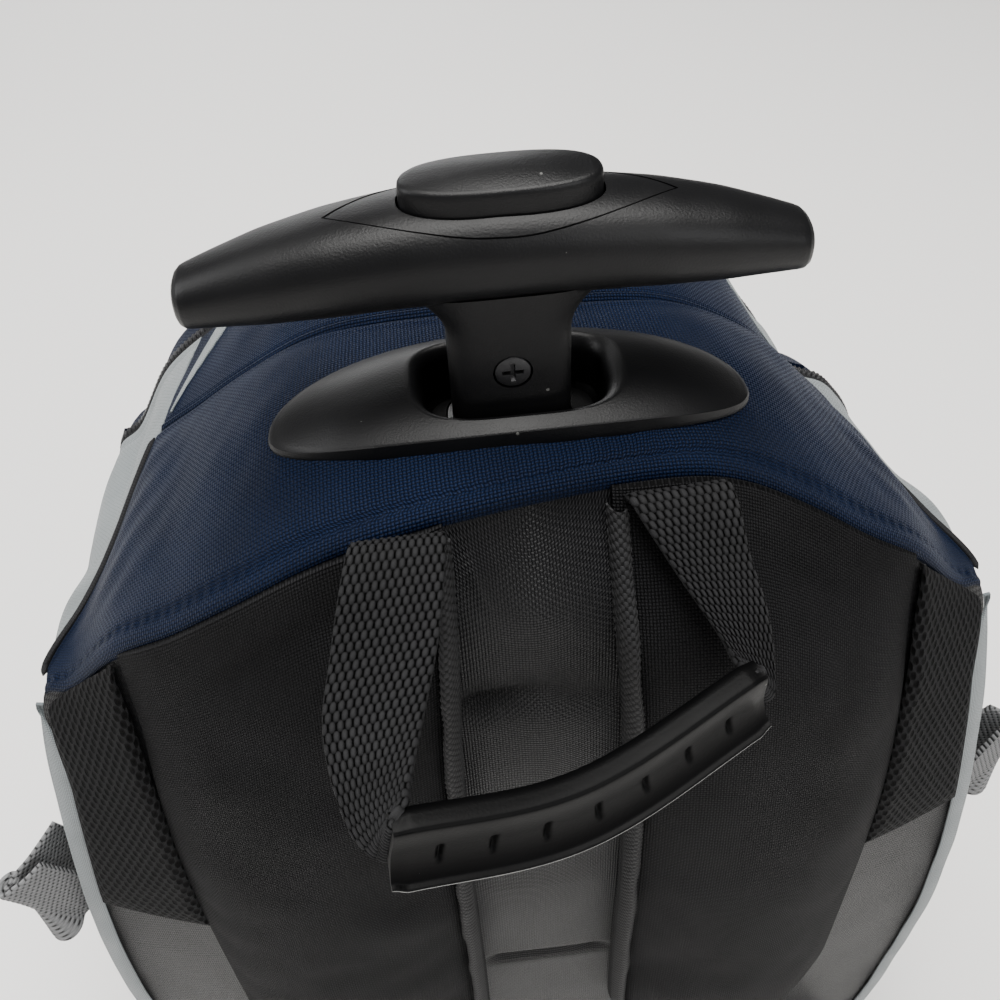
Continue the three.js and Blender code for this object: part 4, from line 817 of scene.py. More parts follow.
for side, word in SIDES:
    def side_face(u, v):
        inside = np.minimum(1, np.minimum.reduce([u, 1 - u, v, 1 - v]) * 9)
        folds = 1.6 * ripple(u * 330, v * 100, 61 + side, 110) + 0.7 * ripple(u * 330, v * 60, 64 + side, 42)
        hem = 0.6 * mound(np.minimum(v, 1 - v) * 100, 3, 1.2)
        return side_place(side, u, v, 0.5 + inside * folds - hem)

    flank = cloth_sheet(f"grey_side_{word}", side_face, 1.4, 240, 110, grey_cloth)
    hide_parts(f"side_panel_{word}")

    def edge_face(u, v):
        height = tip_z - 4 + (SEAM_Z + 8 - tip_z + 4) * v
        edge_x = edge_at_height(height)[0]
        x = edge_x + 0.8 - EDGE_STRIP * u * soft_step(0, 0.07, v)
        plump = 0.9 * np.sin(math.pi * np.clip(u, 0, 1)) ** 0.5
        plump = plump + 0.3 * ripple(height, 0 * height, 77 + side, 60)
        return np.stack([side * x, back_y(np.minimum(x, edge_x), height) - 0.9 - plump, height], axis=-1)

    edge = cloth_sheet(f"grey_edge_{word}", edge_face, 1.0, 14, 160, grey_cloth)


# Piping. A cord wrapped in black cloth is sewn along the yoke's side edges, from the pointed corner
# towards the front, and thins out at both ends.
def ring_faces(rings, count, around=False):
    """Faces of closed rings joined in order. around joins the last to the first, otherwise they are
    closed by a face each."""
    at = np.arange(rings * count).reshape(rings, count)
    low, high = (at, np.roll(at, -1, axis=0)) if around else (at[:-1], at[1:])
    quads = np.stack([low, np.roll(low, -1, axis=1), np.roll(high, -1, axis=1), high], axis=-1)
    faces = quads.reshape(-1, 4).tolist()
    return faces if around else [*faces, at[0][::-1].tolist(), at[-1].tolist()]


def cord_rings(path, radius, count=12, up=(0.0, 0.0, 1.0)):
    """Round rings square to a path of points. radius may be one for each point."""
    run = np.gradient(path, axis=0)
    run /= np.linalg.norm(run, axis=1, keepdims=True)
    first = np.cross(run, up)
    first /= np.linalg.norm(first, axis=1, keepdims=True)
    second = np.cross(run, first)
    turn = np.arange(count) / count * math.tau
    wide = np.broadcast_to(radius, len(path))[:, None, None]
    return path[:, None] + wide * (
        first[:, None] * np.cos(turn)[None, :, None] + second[:, None] * np.sin(turn)[None, :, None])


def cord_piece(name, path, radius, material, count=12, **more):
    rings = cord_rings(np.asarray(path, float), radius, count)
    run = np.repeat(np.arange(len(path)) * 1.0, count)
    turn = np.tile(np.arange(count) * 1.0, len(path))
    return piece_from(name, rings.reshape(-1, 3), ring_faces(len(path), count), material,
                      across=turn * 0.6, along=run * 0.6, **more)


piping_cloth = woven("piping_cloth", (0.002, 0.002, 0.0024), (0.018, 0.018, 0.02), 0.0006, 0.0001, 0.7)
PIPING_R = 1.0
PIPING_STEPS = 90
piping_stops = np.arange(PIPING_STEPS) * 1.0
piping_uneven = 1 + 0.06 * ripple(piping_stops, 0 * piping_stops, 71, 9)
piping_taper = np.minimum(1, 0.2 + np.minimum(piping_stops, piping_stops[::-1]) / 3)
for side, word in SIDES:
    route_y = np.linspace(TIP_Y - 4, JOIN_Y - 1, PIPING_STEPS)
    route_share = along_seam(lambda spot: spot[..., 0], border_x(route_y), tip_share)
    route = seam_at(0.5 + 0.5 * route_share)
    normal_x, normal_z = seam_normal(route_share)
    lift = PIPING_R + GAP * 2
    path = np.stack([side * (route[:, 0] + normal_x * lift), route_y, route[:, 2] + normal_z * lift], axis=1)
    thick = PIPING_R * piping_taper * piping_uneven
    piping = cord_piece(f"black_piping_{word}", slump(path), thick, piping_cloth)
    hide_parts(f"piping_{word}")


# Bezel. One black moulding with a fine spark-eroded grain. It is a low lens with a thin lip, screwed on from
# inside, and has a rounded pocket that the stem sinks into.
grain_group, given, result = new_group("moulded_grain", [
    ("Place", "NodeSocketVector", None), ("Grain", "NodeSocketFloat", 1900.0),
    ("Lint", "NodeSocketFloat", 260.0),
], ["Height", "Patches", "Specks"])
fine = grain_group.nodes.new("ShaderNodeTexNoise")
fine.inputs["Detail"].default_value = 2
grain_group.links.new(given["Place"], fine.inputs["Vector"])
grain_group.links.new(given["Grain"], fine.inputs["Scale"])
broad = grain_group.nodes.new("ShaderNodeTexNoise")
broad.inputs["Scale"].default_value = 45
broad.inputs["Detail"].default_value = 5
grain_group.links.new(given["Place"], broad.inputs["Vector"])
cells = grain_group.nodes.new("ShaderNodeTexVoronoi")
grain_group.links.new(given["Place"], cells.inputs["Vector"])
grain_group.links.new(given["Lint"], cells.inputs["Scale"])
parts = grain_group.nodes.new("ShaderNodeSeparateColor")
grain_group.links.new(cells.outputs["Color"], parts.inputs["Color"])
picked = calc(grain_group, "GREATER_THAN", parts.outputs["Red"], 0.93)
close = calc(grain_group, "LESS_THAN", cells.outputs["Distance"],
             calc(grain_group, "MULTIPLY", parts.outputs["Green"], 0.12))
grain_group.links.new(fine.outputs["Fac"], result["Height"])
grain_group.links.new(broad.outputs["Fac"], result["Patches"])
grain_group.links.new(calc(grain_group, "MULTIPLY", picked, close), result["Specks"])


def on_object(tree):
    return tree.nodes.new("ShaderNodeTexCoord").outputs["Object"]


def moulded(name, color, roughness, grain=1900.0, depth=0.00006, lint=(0.09, 0.09, 0.085), gloss=0.5):
    """Moulded plastic: grain, slow changes of gloss where hands have polished it, and specks of lint."""
    material, tree, shader = new_material(name, color, roughness)
    look = use_group(tree, grain_group, on_object(tree), Grain=grain)
    paler = tuple(part * 1.35 + 0.0015 for part in color)
    tone = blend_color(tree, look["Patches"], color, paler)
    tree.links.new(blend_color(tree, look["Specks"], tone, lint), shader.inputs["Base Color"])
    rough = calc(tree, "MULTIPLY_ADD", look["Patches"], 0.22, roughness - 0.1)
    tree.links.new(rough, shader.inputs["Roughness"])
    shader.inputs["Specular IOR Level"].default_value = gloss
    add_bump(tree, shader, look["Height"], depth)
    return material


black_plastic = moulded("grained_black_plastic", (0.0018, 0.0018, 0.0021), 0.42, gloss=0.22)
BEZEL_DEEP_BACK = 22.2
BEZEL_DEEP_FRONT = 18.8
BEZEL_DOME = 6.5
BEZEL_POWER = 2.25
TUBE_HOLE = (15.4, 11.4)
POCKET_HALF, POCKET_HALF_DEEP = 22, 13
POCKET_FLOOR_Z = 438
COLLAR_BOTTOM_Z = 425
RIM_COUNT = 160


def oval(half_x, half_y, count=RIM_COUNT, power=2.0):
    turn = (np.arange(count) + 0.5) / count * math.tau
    c, s = np.cos(turn), np.sin(turn)
    return np.stack([half_x * np.sign(c) * np.abs(c) ** (2 / power),
                     half_y * np.sign(s) * np.abs(s) ** (2 / power)], axis=-1)


rim_line = oval(BEZEL_HALF, 1, power=BEZEL_POWER)
rim_line[:, 1] *= np.where(rim_line[:, 1] > 0, BEZEL_DEEP_BACK, BEZEL_DEEP_FRONT)
mouth = oval(POCKET_HALF + 3.2, POCKET_HALF_DEEP + 2.4, power=3.2) + [1.6, 0]
well = oval(POCKET_HALF - 0.6, POCKET_HALF_DEEP - 0.6, power=3.8) + [0.8, 0]


def dome_z(line):
    across, ahead = np.abs(line[:, 0] / BEZEL_HALF), np.abs(line[:, 1] / BEZEL_DEEP_BACK)
    out = (across ** BEZEL_POWER + ahead ** BEZEL_POWER) ** (1 / BEZEL_POWER)
    return rim_z(line[:, 0]) - 1.6 + BEZEL_DOME * 1.12 * (1 - np.minimum(out, 1) ** 2.6)


def at_height(line, height):
    return np.column_stack([line, np.broadcast_to(height, len(line))])


bezel_rings = [at_height(oval(*TUBE_HOLE, power=5), POCKET_FLOOR_Z), at_height(well * 0.94, POCKET_FLOOR_Z)]
bezel_rings.append(at_height(well, POCKET_FLOOR_Z + 1.5))
for share in np.linspace(0, 1, 8):
    turn = share * math.pi / 2
    line = well + (mouth - well) * (1 - math.cos(turn)) ** 0.9
    bezel_rings.append(at_height(line, dome_z(mouth) - 4.2 * (1 - math.sin(turn))))
for share in np.linspace(0.04, 1, 36) ** 1.1:
    line = mouth + (rim_line * 0.992 - mouth) * share
    lip = 0.7 * mound(share, 0.965, 0.03)
    bezel_rings.append(at_height(line, dome_z(line) - 0.15 * lip))
for out, drop in ((0.998, 0.5), (1, 1.0), (0.998, 1.7), (0.985, 2.0), (0.9, 1.6)):
    bezel_rings.append(at_height(rim_line * out, rim_z(rim_line[:, 0]) - 1.4 - drop))
bezel_rings.append(at_height(oval(COLLAR_HALF, COLLAR_HALF_DEEP, power=3.6), rim_z(np.zeros(1)) - 3.2))
bezel_rings.append(at_height(oval(COLLAR_HALF, COLLAR_HALF_DEEP, power=3.6), COLLAR_BOTTOM_Z + GAP))
bezel_rings.append(at_height(oval(*TUBE_HOLE, power=5), COLLAR_BOTTOM_Z + GAP))
bezel = piece_from("moulded_bezel", np.vstack(bezel_rings),
                   ring_faces(len(bezel_rings), RIM_COUNT, around=True), black_plastic, sharp=34)
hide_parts("bezel")


# Tubes. Three drawn aluminium tubes slide in each other, with a fine satin finish drawn along them.
satin_metal, tree, shader = new_material("satin_aluminium", (0.46, 0.47, 0.48), 0.34, 1.0)
stretch = tree.nodes.new("ShaderNodeMapping")
stretch.inputs["Scale"].default_value = (1, 1, 0.01)
tree.links.new(on_object(tree), stretch.inputs["Vector"])
drawn = use_group(tree, grain_group, stretch.outputs["Vector"], Grain=2600.0)
tree.links.new(blend_color(tree, drawn["Height"], (0.36, 0.37, 0.38), (0.6, 0.61, 0.62)),
               shader.inputs["Base Color"])
tree.links.new(calc(tree, "MULTIPLY_ADD", drawn["Height"], 0.25, 0.22), shader.inputs["Roughness"])
add_bump(tree, shader, drawn["Height"], 0.00003)

TUBE_HALF, TUBE_HALF_DEEP = 15, 11
TUBE_WALL = 1.4
TUBE_RUN = 0.4
TUBE_COUNT = 64
TUBES = (("outer_tube", "root"), ("middle_tube", "middle"), ("inner_tube", "handle"))
for stage, (node, body) in enumerate(TUBES):
    low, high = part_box(node)
    step = stage * (TUBE_WALL + TUBE_RUN)
    rings = []
    for wall, height in ((0, low.z), (0, high.z), (0.3, high.z), (TUBE_WALL, high.z), (TUBE_WALL, low.z)):
        line = oval(TUBE_HALF - step - wall, TUBE_HALF_DEEP - step - wall, TUBE_COUNT, 5)
        rings.append(at_height(line, height / MM))
    tube = piece_from(f"drawn_{node}", np.vstack(rings), ring_faces(len(rings), TUBE_COUNT, around=True),
                      satin_metal, body=body)
    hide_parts(node)


# Pull handle. The T grip and its stem are one moulding with blunt, rounded ends, hollowed for the tube, the
# button and a lens-shaped inlay. A cross-recess screw holds the stem.
GRIP_X = -1.7
GRIP_HALF = 67.6
GRIP_Z = RIM_Z + 39.7
GRIP_DEEP = 27.6
GRIP_TALL = 23
GRIP_DROOP = 7.7
GRIP_COUNT = 96
# Sections of the grip: place as a share of GRIP_HALF, thickness as a share of the middle's
GRIP_AT = [0, 0.2, 0.33, 0.52, 0.72, 0.88, 0.955, 0.975, 0.99, 0.998, 1]
GRIP_THICK = [1, 0.975, 0.94, 0.885, 0.77, 0.62, 0.545, 0.515, 0.45, 0.37, 0.28]
STEM_HALF, STEM_HALF_DEEP = 13.8, 11
STEM_LOW_Z = POCKET_FLOOR_Z + 1
LENS_HALF, LENS_HALF_DEEP = 36.5, 12
BUTTON_HALF, BUTTON_HALF_DEEP = 20.8, 8.2
SCREW_Z = RIM_Z + 12
SCREW_R = 4.1
SCREW_COUNT = 48
# How far over the grip the cutters for its hollows reach
CUT_UP = 30


def carve(piece, tool, operation="DIFFERENCE"):
    """Cuts a tool out of a piece, joins it on, or keeps what both share. The tool goes."""
    cut = piece.modifiers.new("cut", "BOOLEAN")
    cut.object = tool
    cut.operation = operation
    cut.solver = "EXACT"
    bpy.context.view_layer.update()
    mesh = bpy.data.meshes.new_from_object(piece.evaluated_get(bpy.context.evaluated_depsgraph_get()))
    piece.modifiers.clear()
    piece.data = mesh
    bpy.data.objects.remove(tool)


def soften(piece, angle=34):
    piece.data.shade_smooth()
    piece.data.set_sharp_from_angle(angle=math.radians(angle))


def grip_solid(name, shrink=0.0, body="handle"):
    half_shares = 1 - (1 - np.linspace(0, 1, 90)) ** 1.6
    shares = np.concatenate([-half_shares[:0:-1], half_shares])
    rings = []
    for share in shares:
        thick = np.interp(abs(share), GRIP_AT, GRIP_THICK)
        near = [np.interp(abs(share) + step, GRIP_AT, GRIP_THICK) for step in (-0.03, 0.03)]
        thick = (2 * thick + near[0] + near[1]) / 4 if abs(share) < 0.93 else thick
        line = oval(GRIP_DEEP / 2 * thick - shrink, GRIP_TALL / 2 * thick - shrink, GRIP_COUNT, 2.35)
        middle = GRIP_Z - GRIP_DROOP * abs(share) ** 1.8
        across = np.full(GRIP_COUNT, GRIP_X + share * GRIP_HALF)
        rings.append(np.column_stack([across, line[:, 0], middle + line[:, 1]]))
    return piece_from(name, np.vstack(rings), ring_faces(len(rings), GRIP_COUNT), black_plastic, body=body)


def prism(name, line, low, high, body=None):
    """An upright bar between two heights over a closed outline."""
    rings = [at_height(line, low), at_height(line, high)]
    return piece_from(name, np.vstack(rings), ring_faces(2, len(line)), black_plastic, body=body)


def lens_line(inset):
    half, deep = LENS_HALF - 2 * inset, LENS_HALF_DEEP - inset
    radius = (half * half + deep * deep) / (2 * deep)
    angle = math.asin(half / radius)
    sweep = np.linspace(-angle, angle, 60)[:-1]
    bow = np.stack([radius * np.sin(sweep), radius * np.cos(sweep) - radius + deep], axis=1)
    return np.vstack([bow, -bow])


grip = grip_solid("moulded_grip")
FLARE_Z = GRIP_Z - GRIP_TALL / 2
stem_sizes = [(STEM_LOW_Z, 0, 0), (FLARE_Z - 9, 0, 0)]
stem_sizes += [(FLARE_Z - 9 + 13 * share, 8.2 * share ** 2.4, 0.9 * share ** 2)
               for share in np.linspace(0.08, 1, 12)]
stem_rings = []
for height, wide, deep in stem_sizes:
    line = oval(STEM_HALF + wide, STEM_HALF_DEEP + deep, GRIP_COUNT, 5 - 0.16 * wide)
    stem_rings.append(at_height(line, height))
stem = piece_from("stem_part", np.vstack(stem_rings), ring_faces(len(stem_rings), GRIP_COUNT), black_plastic,
                  body=None)
carve(grip, stem, "UNION")
inner_half, inner_deep = TUBE_HALF - 2 * (TUBE_WALL + TUBE_RUN), TUBE_HALF_DEEP - 2 * (TUBE_WALL + TUBE_RUN)
bore_line = oval(inner_half + GAP, inner_deep + GAP, TUBE_COUNT, 5)
carve(grip, prism("bore", bore_line, STEM_LOW_Z - 1, STEM_LOW_Z + 31.4))
carve(grip, prism("inlay_seat", lens_line(0), GRIP_Z + 3.5, GRIP_Z + CUT_UP))
button_line = oval(BUTTON_HALF + 0.5, BUTTON_HALF_DEEP + 0.5, GRIP_COUNT, 2.5)
carve(grip, prism("button_well", button_line, GRIP_Z - 5.5, GRIP_Z + CUT_UP))
turn = np.arange(SCREW_COUNT) / SCREW_COUNT * math.tau


def screw_ring(wide, y):
    """A ring round the screw's axis, wide as a share of its head and y out from the stem's face."""
    place_y = np.full(SCREW_COUNT, -STEM_HALF_DEEP + y)
    return np.column_stack([SCREW_R * wide * np.cos(turn), place_y, SCREW_Z + SCREW_R * wide * np.sin(turn)])


seat_rings = [screw_ring(1.1, -2), screw_ring(1.06, 2.3)]
carve(grip, piece_from("screw_seat", np.vstack(seat_rings), ring_faces(2, SCREW_COUNT), black_plastic,
                       body=None))
soften(grip)
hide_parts("handle_grip")

inlay = grip_solid("grip_inlay", shrink=0.12)
carve(inlay, prism("inlay_edge", lens_line(0.35), GRIP_Z + 3.9, GRIP_Z + CUT_UP), "INTERSECT")
carve(inlay, prism("inlay_hole", button_line, GRIP_Z - 10, GRIP_Z + CUT_UP))
soften(inlay)
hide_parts("grip_insert")

button_rings = [(0.995, -2), (1, 0), (1, 12.6), (0.992, 13.6), (0.975, 14.1), (0.94, 14.5)]
button_rings += [(share, 14.55 + 1.5 * (1 - (share / 0.92) ** 2))
                 for share in (0.88, 0.78, 0.64, 0.48, 0.3, 0.12)]
rings = [at_height(oval(BUTTON_HALF * share, BUTTON_HALF_DEEP * share, GRIP_COUNT, 2.5), GRIP_Z + up)
         for share, up in button_rings]
button = piece_from("oval_button", np.vstack(rings), ring_faces(len(rings), GRIP_COUNT), black_plastic,
                    body="button", sharp=50)
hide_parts("push_button")

dark_steel, tree, shader = new_material("dark_steel", (0.03, 0.03, 0.031), 0.36, 0.9)
worn = use_group(tree, grain_group, on_object(tree), Grain=900.0)
tree.links.new(blend_color(tree, worn["Patches"], (0.022, 0.022, 0.023), (0.075, 0.075, 0.078)),
               shader.inputs["Base Color"])
tree.links.new(calc(tree, "MULTIPLY_ADD", worn["Height"], 0.3, 0.25), shader.inputs["Roughness"])
rings = [screw_ring(wide, y)
         for wide, y in ((0.98, 2.0), (1, 0.45), (0.95, 0.15), (0.8, 0), (0.3, -0.05))]
screw = piece_from("cross_screw", np.vstack(rings), ring_faces(len(rings), SCREW_COUNT), dark_steel,
                   body="handle")
for wide, tall in ((0.62, 0.14), (0.14, 0.62)):
    arm = []
    for y, spread in ((-1, 1.1), (1.3, 0.7)):
        for x, z in ((-1, -1), (1, -1), (1, 1), (-1, 1)):
            arm.append((SCREW_R * x * wide * spread, -STEM_HALF_DEEP + y,
                        SCREW_Z + SCREW_R * z * tall * spread))
    carve(screw, piece_from("arm", arm, ring_faces(2, 4), dark_steel, body=None))
soften(screw)
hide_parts("stem_screw")


# Carry handle. Two lengths of coarse black webbing are sewn in over the straps. Each twists a quarter turn
# into the ends of a soft moulded grip with short ribs and a thin lip, whose pale grey is a painted highlight.
def capsule_relief(across, along, pitch_across=1.67, pitch_along=4.0):
    """Height, 0 to 1, of the long staggered stitches of coarse webbing."""
    highest = 0
    for shift in (0.0, 0.5):
        a = np.abs((across / pitch_across + shift) % 1 - 0.5) / 0.40
        b = np.abs((along / pitch_along + shift) % 1 - 0.5) / 0.30
        highest = np.maximum(highest, np.sqrt(np.clip(1 - a ** 2.4 - b ** 2.4, 0, 1)))
    return highest


def ribbon(name, path, width_way, width, wall, columns, rows, material, relief=None, depth=0.0):
    """A ribbon of even width along a path. width_way(v) is its way across at shares of the path."""
    shares = np.linspace(0, 1, rows + 1)
    middle = by_length(smooth_curve(path))(shares)
    run = np.gradient(middle, axis=0)
    run /= np.linalg.norm(run, axis=1, keepdims=True)
    across = width_way(shares)
    across = across - run * (across * run).sum(axis=1, keepdims=True)
    across /= np.linalg.norm(across, axis=1, keepdims=True)
    side = (np.linspace(0, 1, columns + 1) - 0.5) * width
    grid = middle[:, None] + side[None, :, None] * across[:, None]
    return band(name, grid, width, wall, material, relief, depth)


def band(name, grid, width, wall, material, relief=None, depth=0.0):
    """A woven band round a grid of points, with its stitches raised on both faces."""
    columns, rows = grid.shape[1] - 1, grid.shape[0] - 1
    side = (np.linspace(0, 1, columns + 1) - 0.5) * width
    normal = np.cross(np.gradient(grid, axis=0), np.gradient(grid, axis=1))
    normal /= np.linalg.norm(normal, axis=2, keepdims=True) + 1e-9
    along = lengths(grid, 0)
    along = np.broadcast_to(along[:, columns // 2][:, None], along.shape)
    across = np.broadcast_to(side[None, :], along.shape)
    raised = depth * relief(across, along) if relief else 0 * across
    edge = np.clip((width / 2 - np.abs(across)) / 0.9, 0, 1) ** 0.5
    half = (wall / 2 * (0.35 + 0.65 * edge) + raised * edge)[..., None]
    points = np.vstack([(grid + normal * half).reshape(-1, 3), (grid - normal * half).reshape(-1, 3)])
    return piece_from(name, points, sheet_faces(columns, rows), material,
                      across=np.tile(across.ravel(), 2), along=np.tile(along.ravel(), 2))


webbing_black, tree, shader = new_material("coarse_black_webbing", (0.01, 0.01, 0.011), 0.62)
stitches = use_group(tree, staggered_group, on_cloth(tree), Pitch_Across=0.00167, Pitch_Along=0.004,
                     Half_Across=0.40, Half_Along=0.30)
yarn = use_group(tree, weave_group, on_cloth(tree), Thread=0.00028)
# lit is painted light on the raised stitches; the gaps between them are painted near-black as painted shade.
lit = calc(tree, "MULTIPLY", stitches["Height"], calc(tree, "MULTIPLY_ADD", yarn["Patches"], 0.9, 0.5))
tree.links.new(blend_color(tree, lit, (0.0001, 0.0001, 0.0001), (0.021, 0.021, 0.022)),
               shader.inputs["Base Color"])
shader.inputs["Specular IOR Level"].default_value = 0.05
add_bump(tree, shader, yarn["Height"], 0.00005)

GRAB_WIDTH = 21
GRAB_GRIP_WIDTH = 17.6
GRAB_ENDS = [np.array([-36, -93, 415]), np.array([45.5, -66, 412.5])]
GRAB_SAG = np.array([-2, -6, -5.5])
GRAB_UP = np.array([0, -0.1, 1])
GRAB_COLUMNS, GRAB_ROWS = 84, 250
GRIP_STEPS = 420
RIB_PITCH = 11.2
middle = (GRAB_ENDS[0] + GRAB_ENDS[1]) / 2 + GRAB_SAG
grip_path = by_length(smooth_curve([GRAB_ENDS[0], middle, GRAB_ENDS[1]]))(np.linspace(0, 1, GRIP_STEPS))
run = np.gradient(grip_path, axis=0)
run /= np.linalg.norm(run, axis=1, keepdims=True)
down_way = -(GRAB_UP - run * (run @ GRAB_UP)[:, None])
down_way /= np.linalg.norm(down_way, axis=1, keepdims=True)
out_way = np.cross(down_way, run)
out_way *= np.sign(-out_way[:, 1:2])
# Edges of each webbing from under the yoke to just short of the grip: the outer one first, then the inner
WEBBING_EDGES = {
    -1: ([(-39.3, -34, 437), (-39.7, -40, 441.6), (-41.4, -46, 439.5), (-45.2, -57, 429), (-48.2, -69, 420),
          (-46.4, -81, 413), (-42.6, -89, 408)],
         [(-18.3, -34.5, 438), (-18.4, -40.5, 442.4), (-19.4, -46.5, 439.5), (-22.4, -58, 430.5),
          (-27.2, -71, 421.5), (-30.4, -83, 421), (-31.4, -89.5, 423.5)]),
    1: ([(46.6, -24, 432), (46.9, -28.5, 437.5), (47.7, -33.5, 435.5), (49, -42, 427.5), (51, -52, 420.5),
         (51.5, -59.5, 412.5), (50.6, -64, 404.5)],
        [(21.6, -28.5, 437), (22.3, -34, 441.5), (24.8, -38.5, 438.5), (32.4, -47, 427), (39.2, -54.5, 417.5),
         (42, -60.5, 414.5), (42.6, -64, 417)]),
}
for side, word in SIDES:
    end = 0 if side < 0 else -1
    shares = np.linspace(0, 1, GRAB_ROWS + 1)
    edges = []
    for line, way in zip(WEBBING_EDGES[side], (1, -1)):
        last = grip_path[end] + down_way[end] * way * GRAB_GRIP_WIDTH * 0.46
        inside = last + run[end] * -side * 5
        edges.append(by_length(smooth_curve([*line, last, inside]))(shares))
    cross = np.linspace(0, 1, GRAB_COLUMNS + 1)[None, :, None]
    grid = edges[0][:, None] * (1 - cross) + edges[1][:, None] * cross
    webbing = band(f"grab_webbing_{word}_woven", grid, GRAB_WIDTH, 1.5, webbing_black, capsule_relief, 0.5)
    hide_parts(f"grab_webbing_{word}")

# Section of the grip, from its upper edge round its outer face to the lip and back: across from -1 at the
# upper edge to 1 at the lower, out towards the wearer in millimetres
GRIP_SECTION = np.array([
    (-1, -1.5), (-1, 1.4), (-0.97, 2.2), (-0.9, 2.7), (-0.6, 2.9), (-0.2, 2.9), (0.1, 3.0), (0.35, 3.4),
    (0.6, 4.1), (0.8, 5.0), (0.93, 5.8), (0.965, 6.1), (0.985, 7.1), (1.02, 7.5), (1.07, 7.4), (1.09, 6.7),
    (1.04, 5.6), (0.8, 3.0), (0.5, -0.4), (0.1, -3.2), (-0.4, -4.0), (-0.8, -3.4), (-0.96, -2.6),
])
RIB_DEEP, RIB_HALF = 1.1, 0.6
soft_rubber = moulded("soft_grip_rubber", (0.0005, 0.0005, 0.0006), 0.42, grain=1500.0, depth=0.00004,
                      gloss=0.06)
# The lip's pale grey is a painted highlight, as if its upturned edge caught the light; grain patches vary it.
painted_lip_highlight, tree, shader = new_material("lip_painted_highlight", (0.3, 0.3, 0.3), 0.5)
lip_highlight_patches = use_group(tree, grain_group, on_object(tree), Grain=700.0)
tree.links.new(blend_color(tree, lip_highlight_patches["Patches"], (0.06, 0.06, 0.06), (0.26, 0.26, 0.255)),
               shader.inputs["Base Color"])
section = smooth_curve(np.column_stack([GRIP_SECTION, np.zeros(len(GRIP_SECTION))]), 4)[:-1, :2]
grip_run = np.linspace(0, 1, GRIP_STEPS) * np.linalg.norm(np.diff(grip_path, axis=0), axis=1).sum()
from_end = np.minimum(grip_run, grip_run[-1] - grip_run)
from_rib = (grip_run - grip_run[-1] / 2 + RIB_PITCH / 2) % RIB_PITCH - RIB_PITCH / 2
rib = mound(from_rib, 0, RIB_HALF) * soft_step(5, 9, from_end)
down, out = section[:, 0], section[:, 1]
on_face = soft_step(0.2, 1.6, out) * soft_step(-0.15, 0.05, down) * soft_step(0.62, 0.4, down)
narrow = (0.92 + 0.08 * soft_step(0, 4, from_end))[:, None, None]
lowered = down[None, :, None] * GRAB_GRIP_WIDTH / 2 * narrow
proud = (out[None, :] - RIB_DEEP * rib[:, None] * on_face[None, :])[..., None] * narrow
points = grip_path[:, None] + down_way[:, None] * lowered + out_way[:, None] * proud
grab_grip = piece_from("ribbed_grab_grip", points.reshape(-1, 3), ring_faces(GRIP_STEPS, len(section)),
                       soft_rubber)
grab_grip.data.materials.append(painted_lip_highlight)
# The lip faces that take the painted highlight.
highlighted_lip_columns = np.flatnonzero((down > 1.0) & (out > 6.6))
for number in highlighted_lip_columns:
    for row in range(GRIP_STEPS - 1):
        grab_grip.data.polygons[row * len(section) + int(number)].material_index = 1
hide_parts("grab_grip")


# Side loops. Short loops of black webbing flecked with white are folded double and sewn to the grey
# sides, where each stands out in a loose bend.
loop_webbing, tree, shader = new_material("flecked_webbing", (0.02, 0.02, 0.022), 0.6)
flecks = use_group(tree, staggered_group, on_cloth(tree), Pitch_Across=0.0021, Pitch_Along=0.0026,
                   Half_Across=0.34, Half_Along=0.42)
thread = use_group(tree, weave_group, on_cloth(tree), Thread=0.0004)
tree.links.new(blend_color(tree, calc(tree, "POWER", flecks["Height"], 0.7), (0.006, 0.006, 0.0065),
                           (0.17, 0.172, 0.175)), shader.inputs["Base Color"])
rough_height = calc(tree, "ADD", flecks["Height"], calc(tree, "MULTIPLY", thread["Height"], 0.3))
add_bump(tree, shader, rough_height, 0.00025)
LOOP_TOP_Z = 288
LOOP_WIDTH = 38
LOOP_REACH_X = 173
LOOP_WALL = 2
LOOP_SINK = 8
LOOP_PLACES = (0.05, 0.17)

for side, word in SIDES:
    start = float(along_seam(lambda spot: -spot[..., 2], LOOP_WIDTH - LOOP_TOP_Z, 1.0, tip_share))
    start = np.array((start - tip_share) / (1 - tip_share))
    rear, front = [side_place(side, start, np.array(place), LOOP_WALL / 2 + GAP * 2)
                   for place in LOOP_PLACES]
    reach_x = LOOP_REACH_X - LOOP_WALL / 2
    bend = (rear[1] + front[1]) / 2 + side * 6 - 6
    line = smooth_curve([
        (rear[0], rear[1], 0),
        (rear[0] + (side * reach_x - rear[0]) * 0.55, rear[1] + (bend - rear[1]) * 0.7 - 2.5, 0),
        (side * (reach_x - 2), bend - 3, 0), (side * reach_x, bend, 0), (side * (reach_x - 2), bend + 3, 0),
        (front[0] + (side * reach_x - front[0]) * 0.55, front[1] + (bend - front[1]) * 0.7 + 2.5, 0),
        (front[0], front[1], 0),
    ])
    line = by_length(line)(np.linspace(0, 1, 121))
    outness = np.clip((np.abs(line[:, 0]) - abs(rear[0])) / (reach_x - abs(rear[0])), 0, 1)
    line[:, 2] = LOOP_TOP_Z - LOOP_WIDTH / 2 - LOOP_SINK * outness
    loop = ribbon(f"flecked_loop_{word}", line, lambda v: np.tile([0.0, 0.0, 1.0], (len(v), 1)), LOOP_WIDTH,
                  LOOP_WALL - 0.4, 60, 200, loop_webbing,
                  lambda a, b: capsule_relief(a, b, 2.1, 2.6), 0.25)
    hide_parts(f"side_loop_{word}")


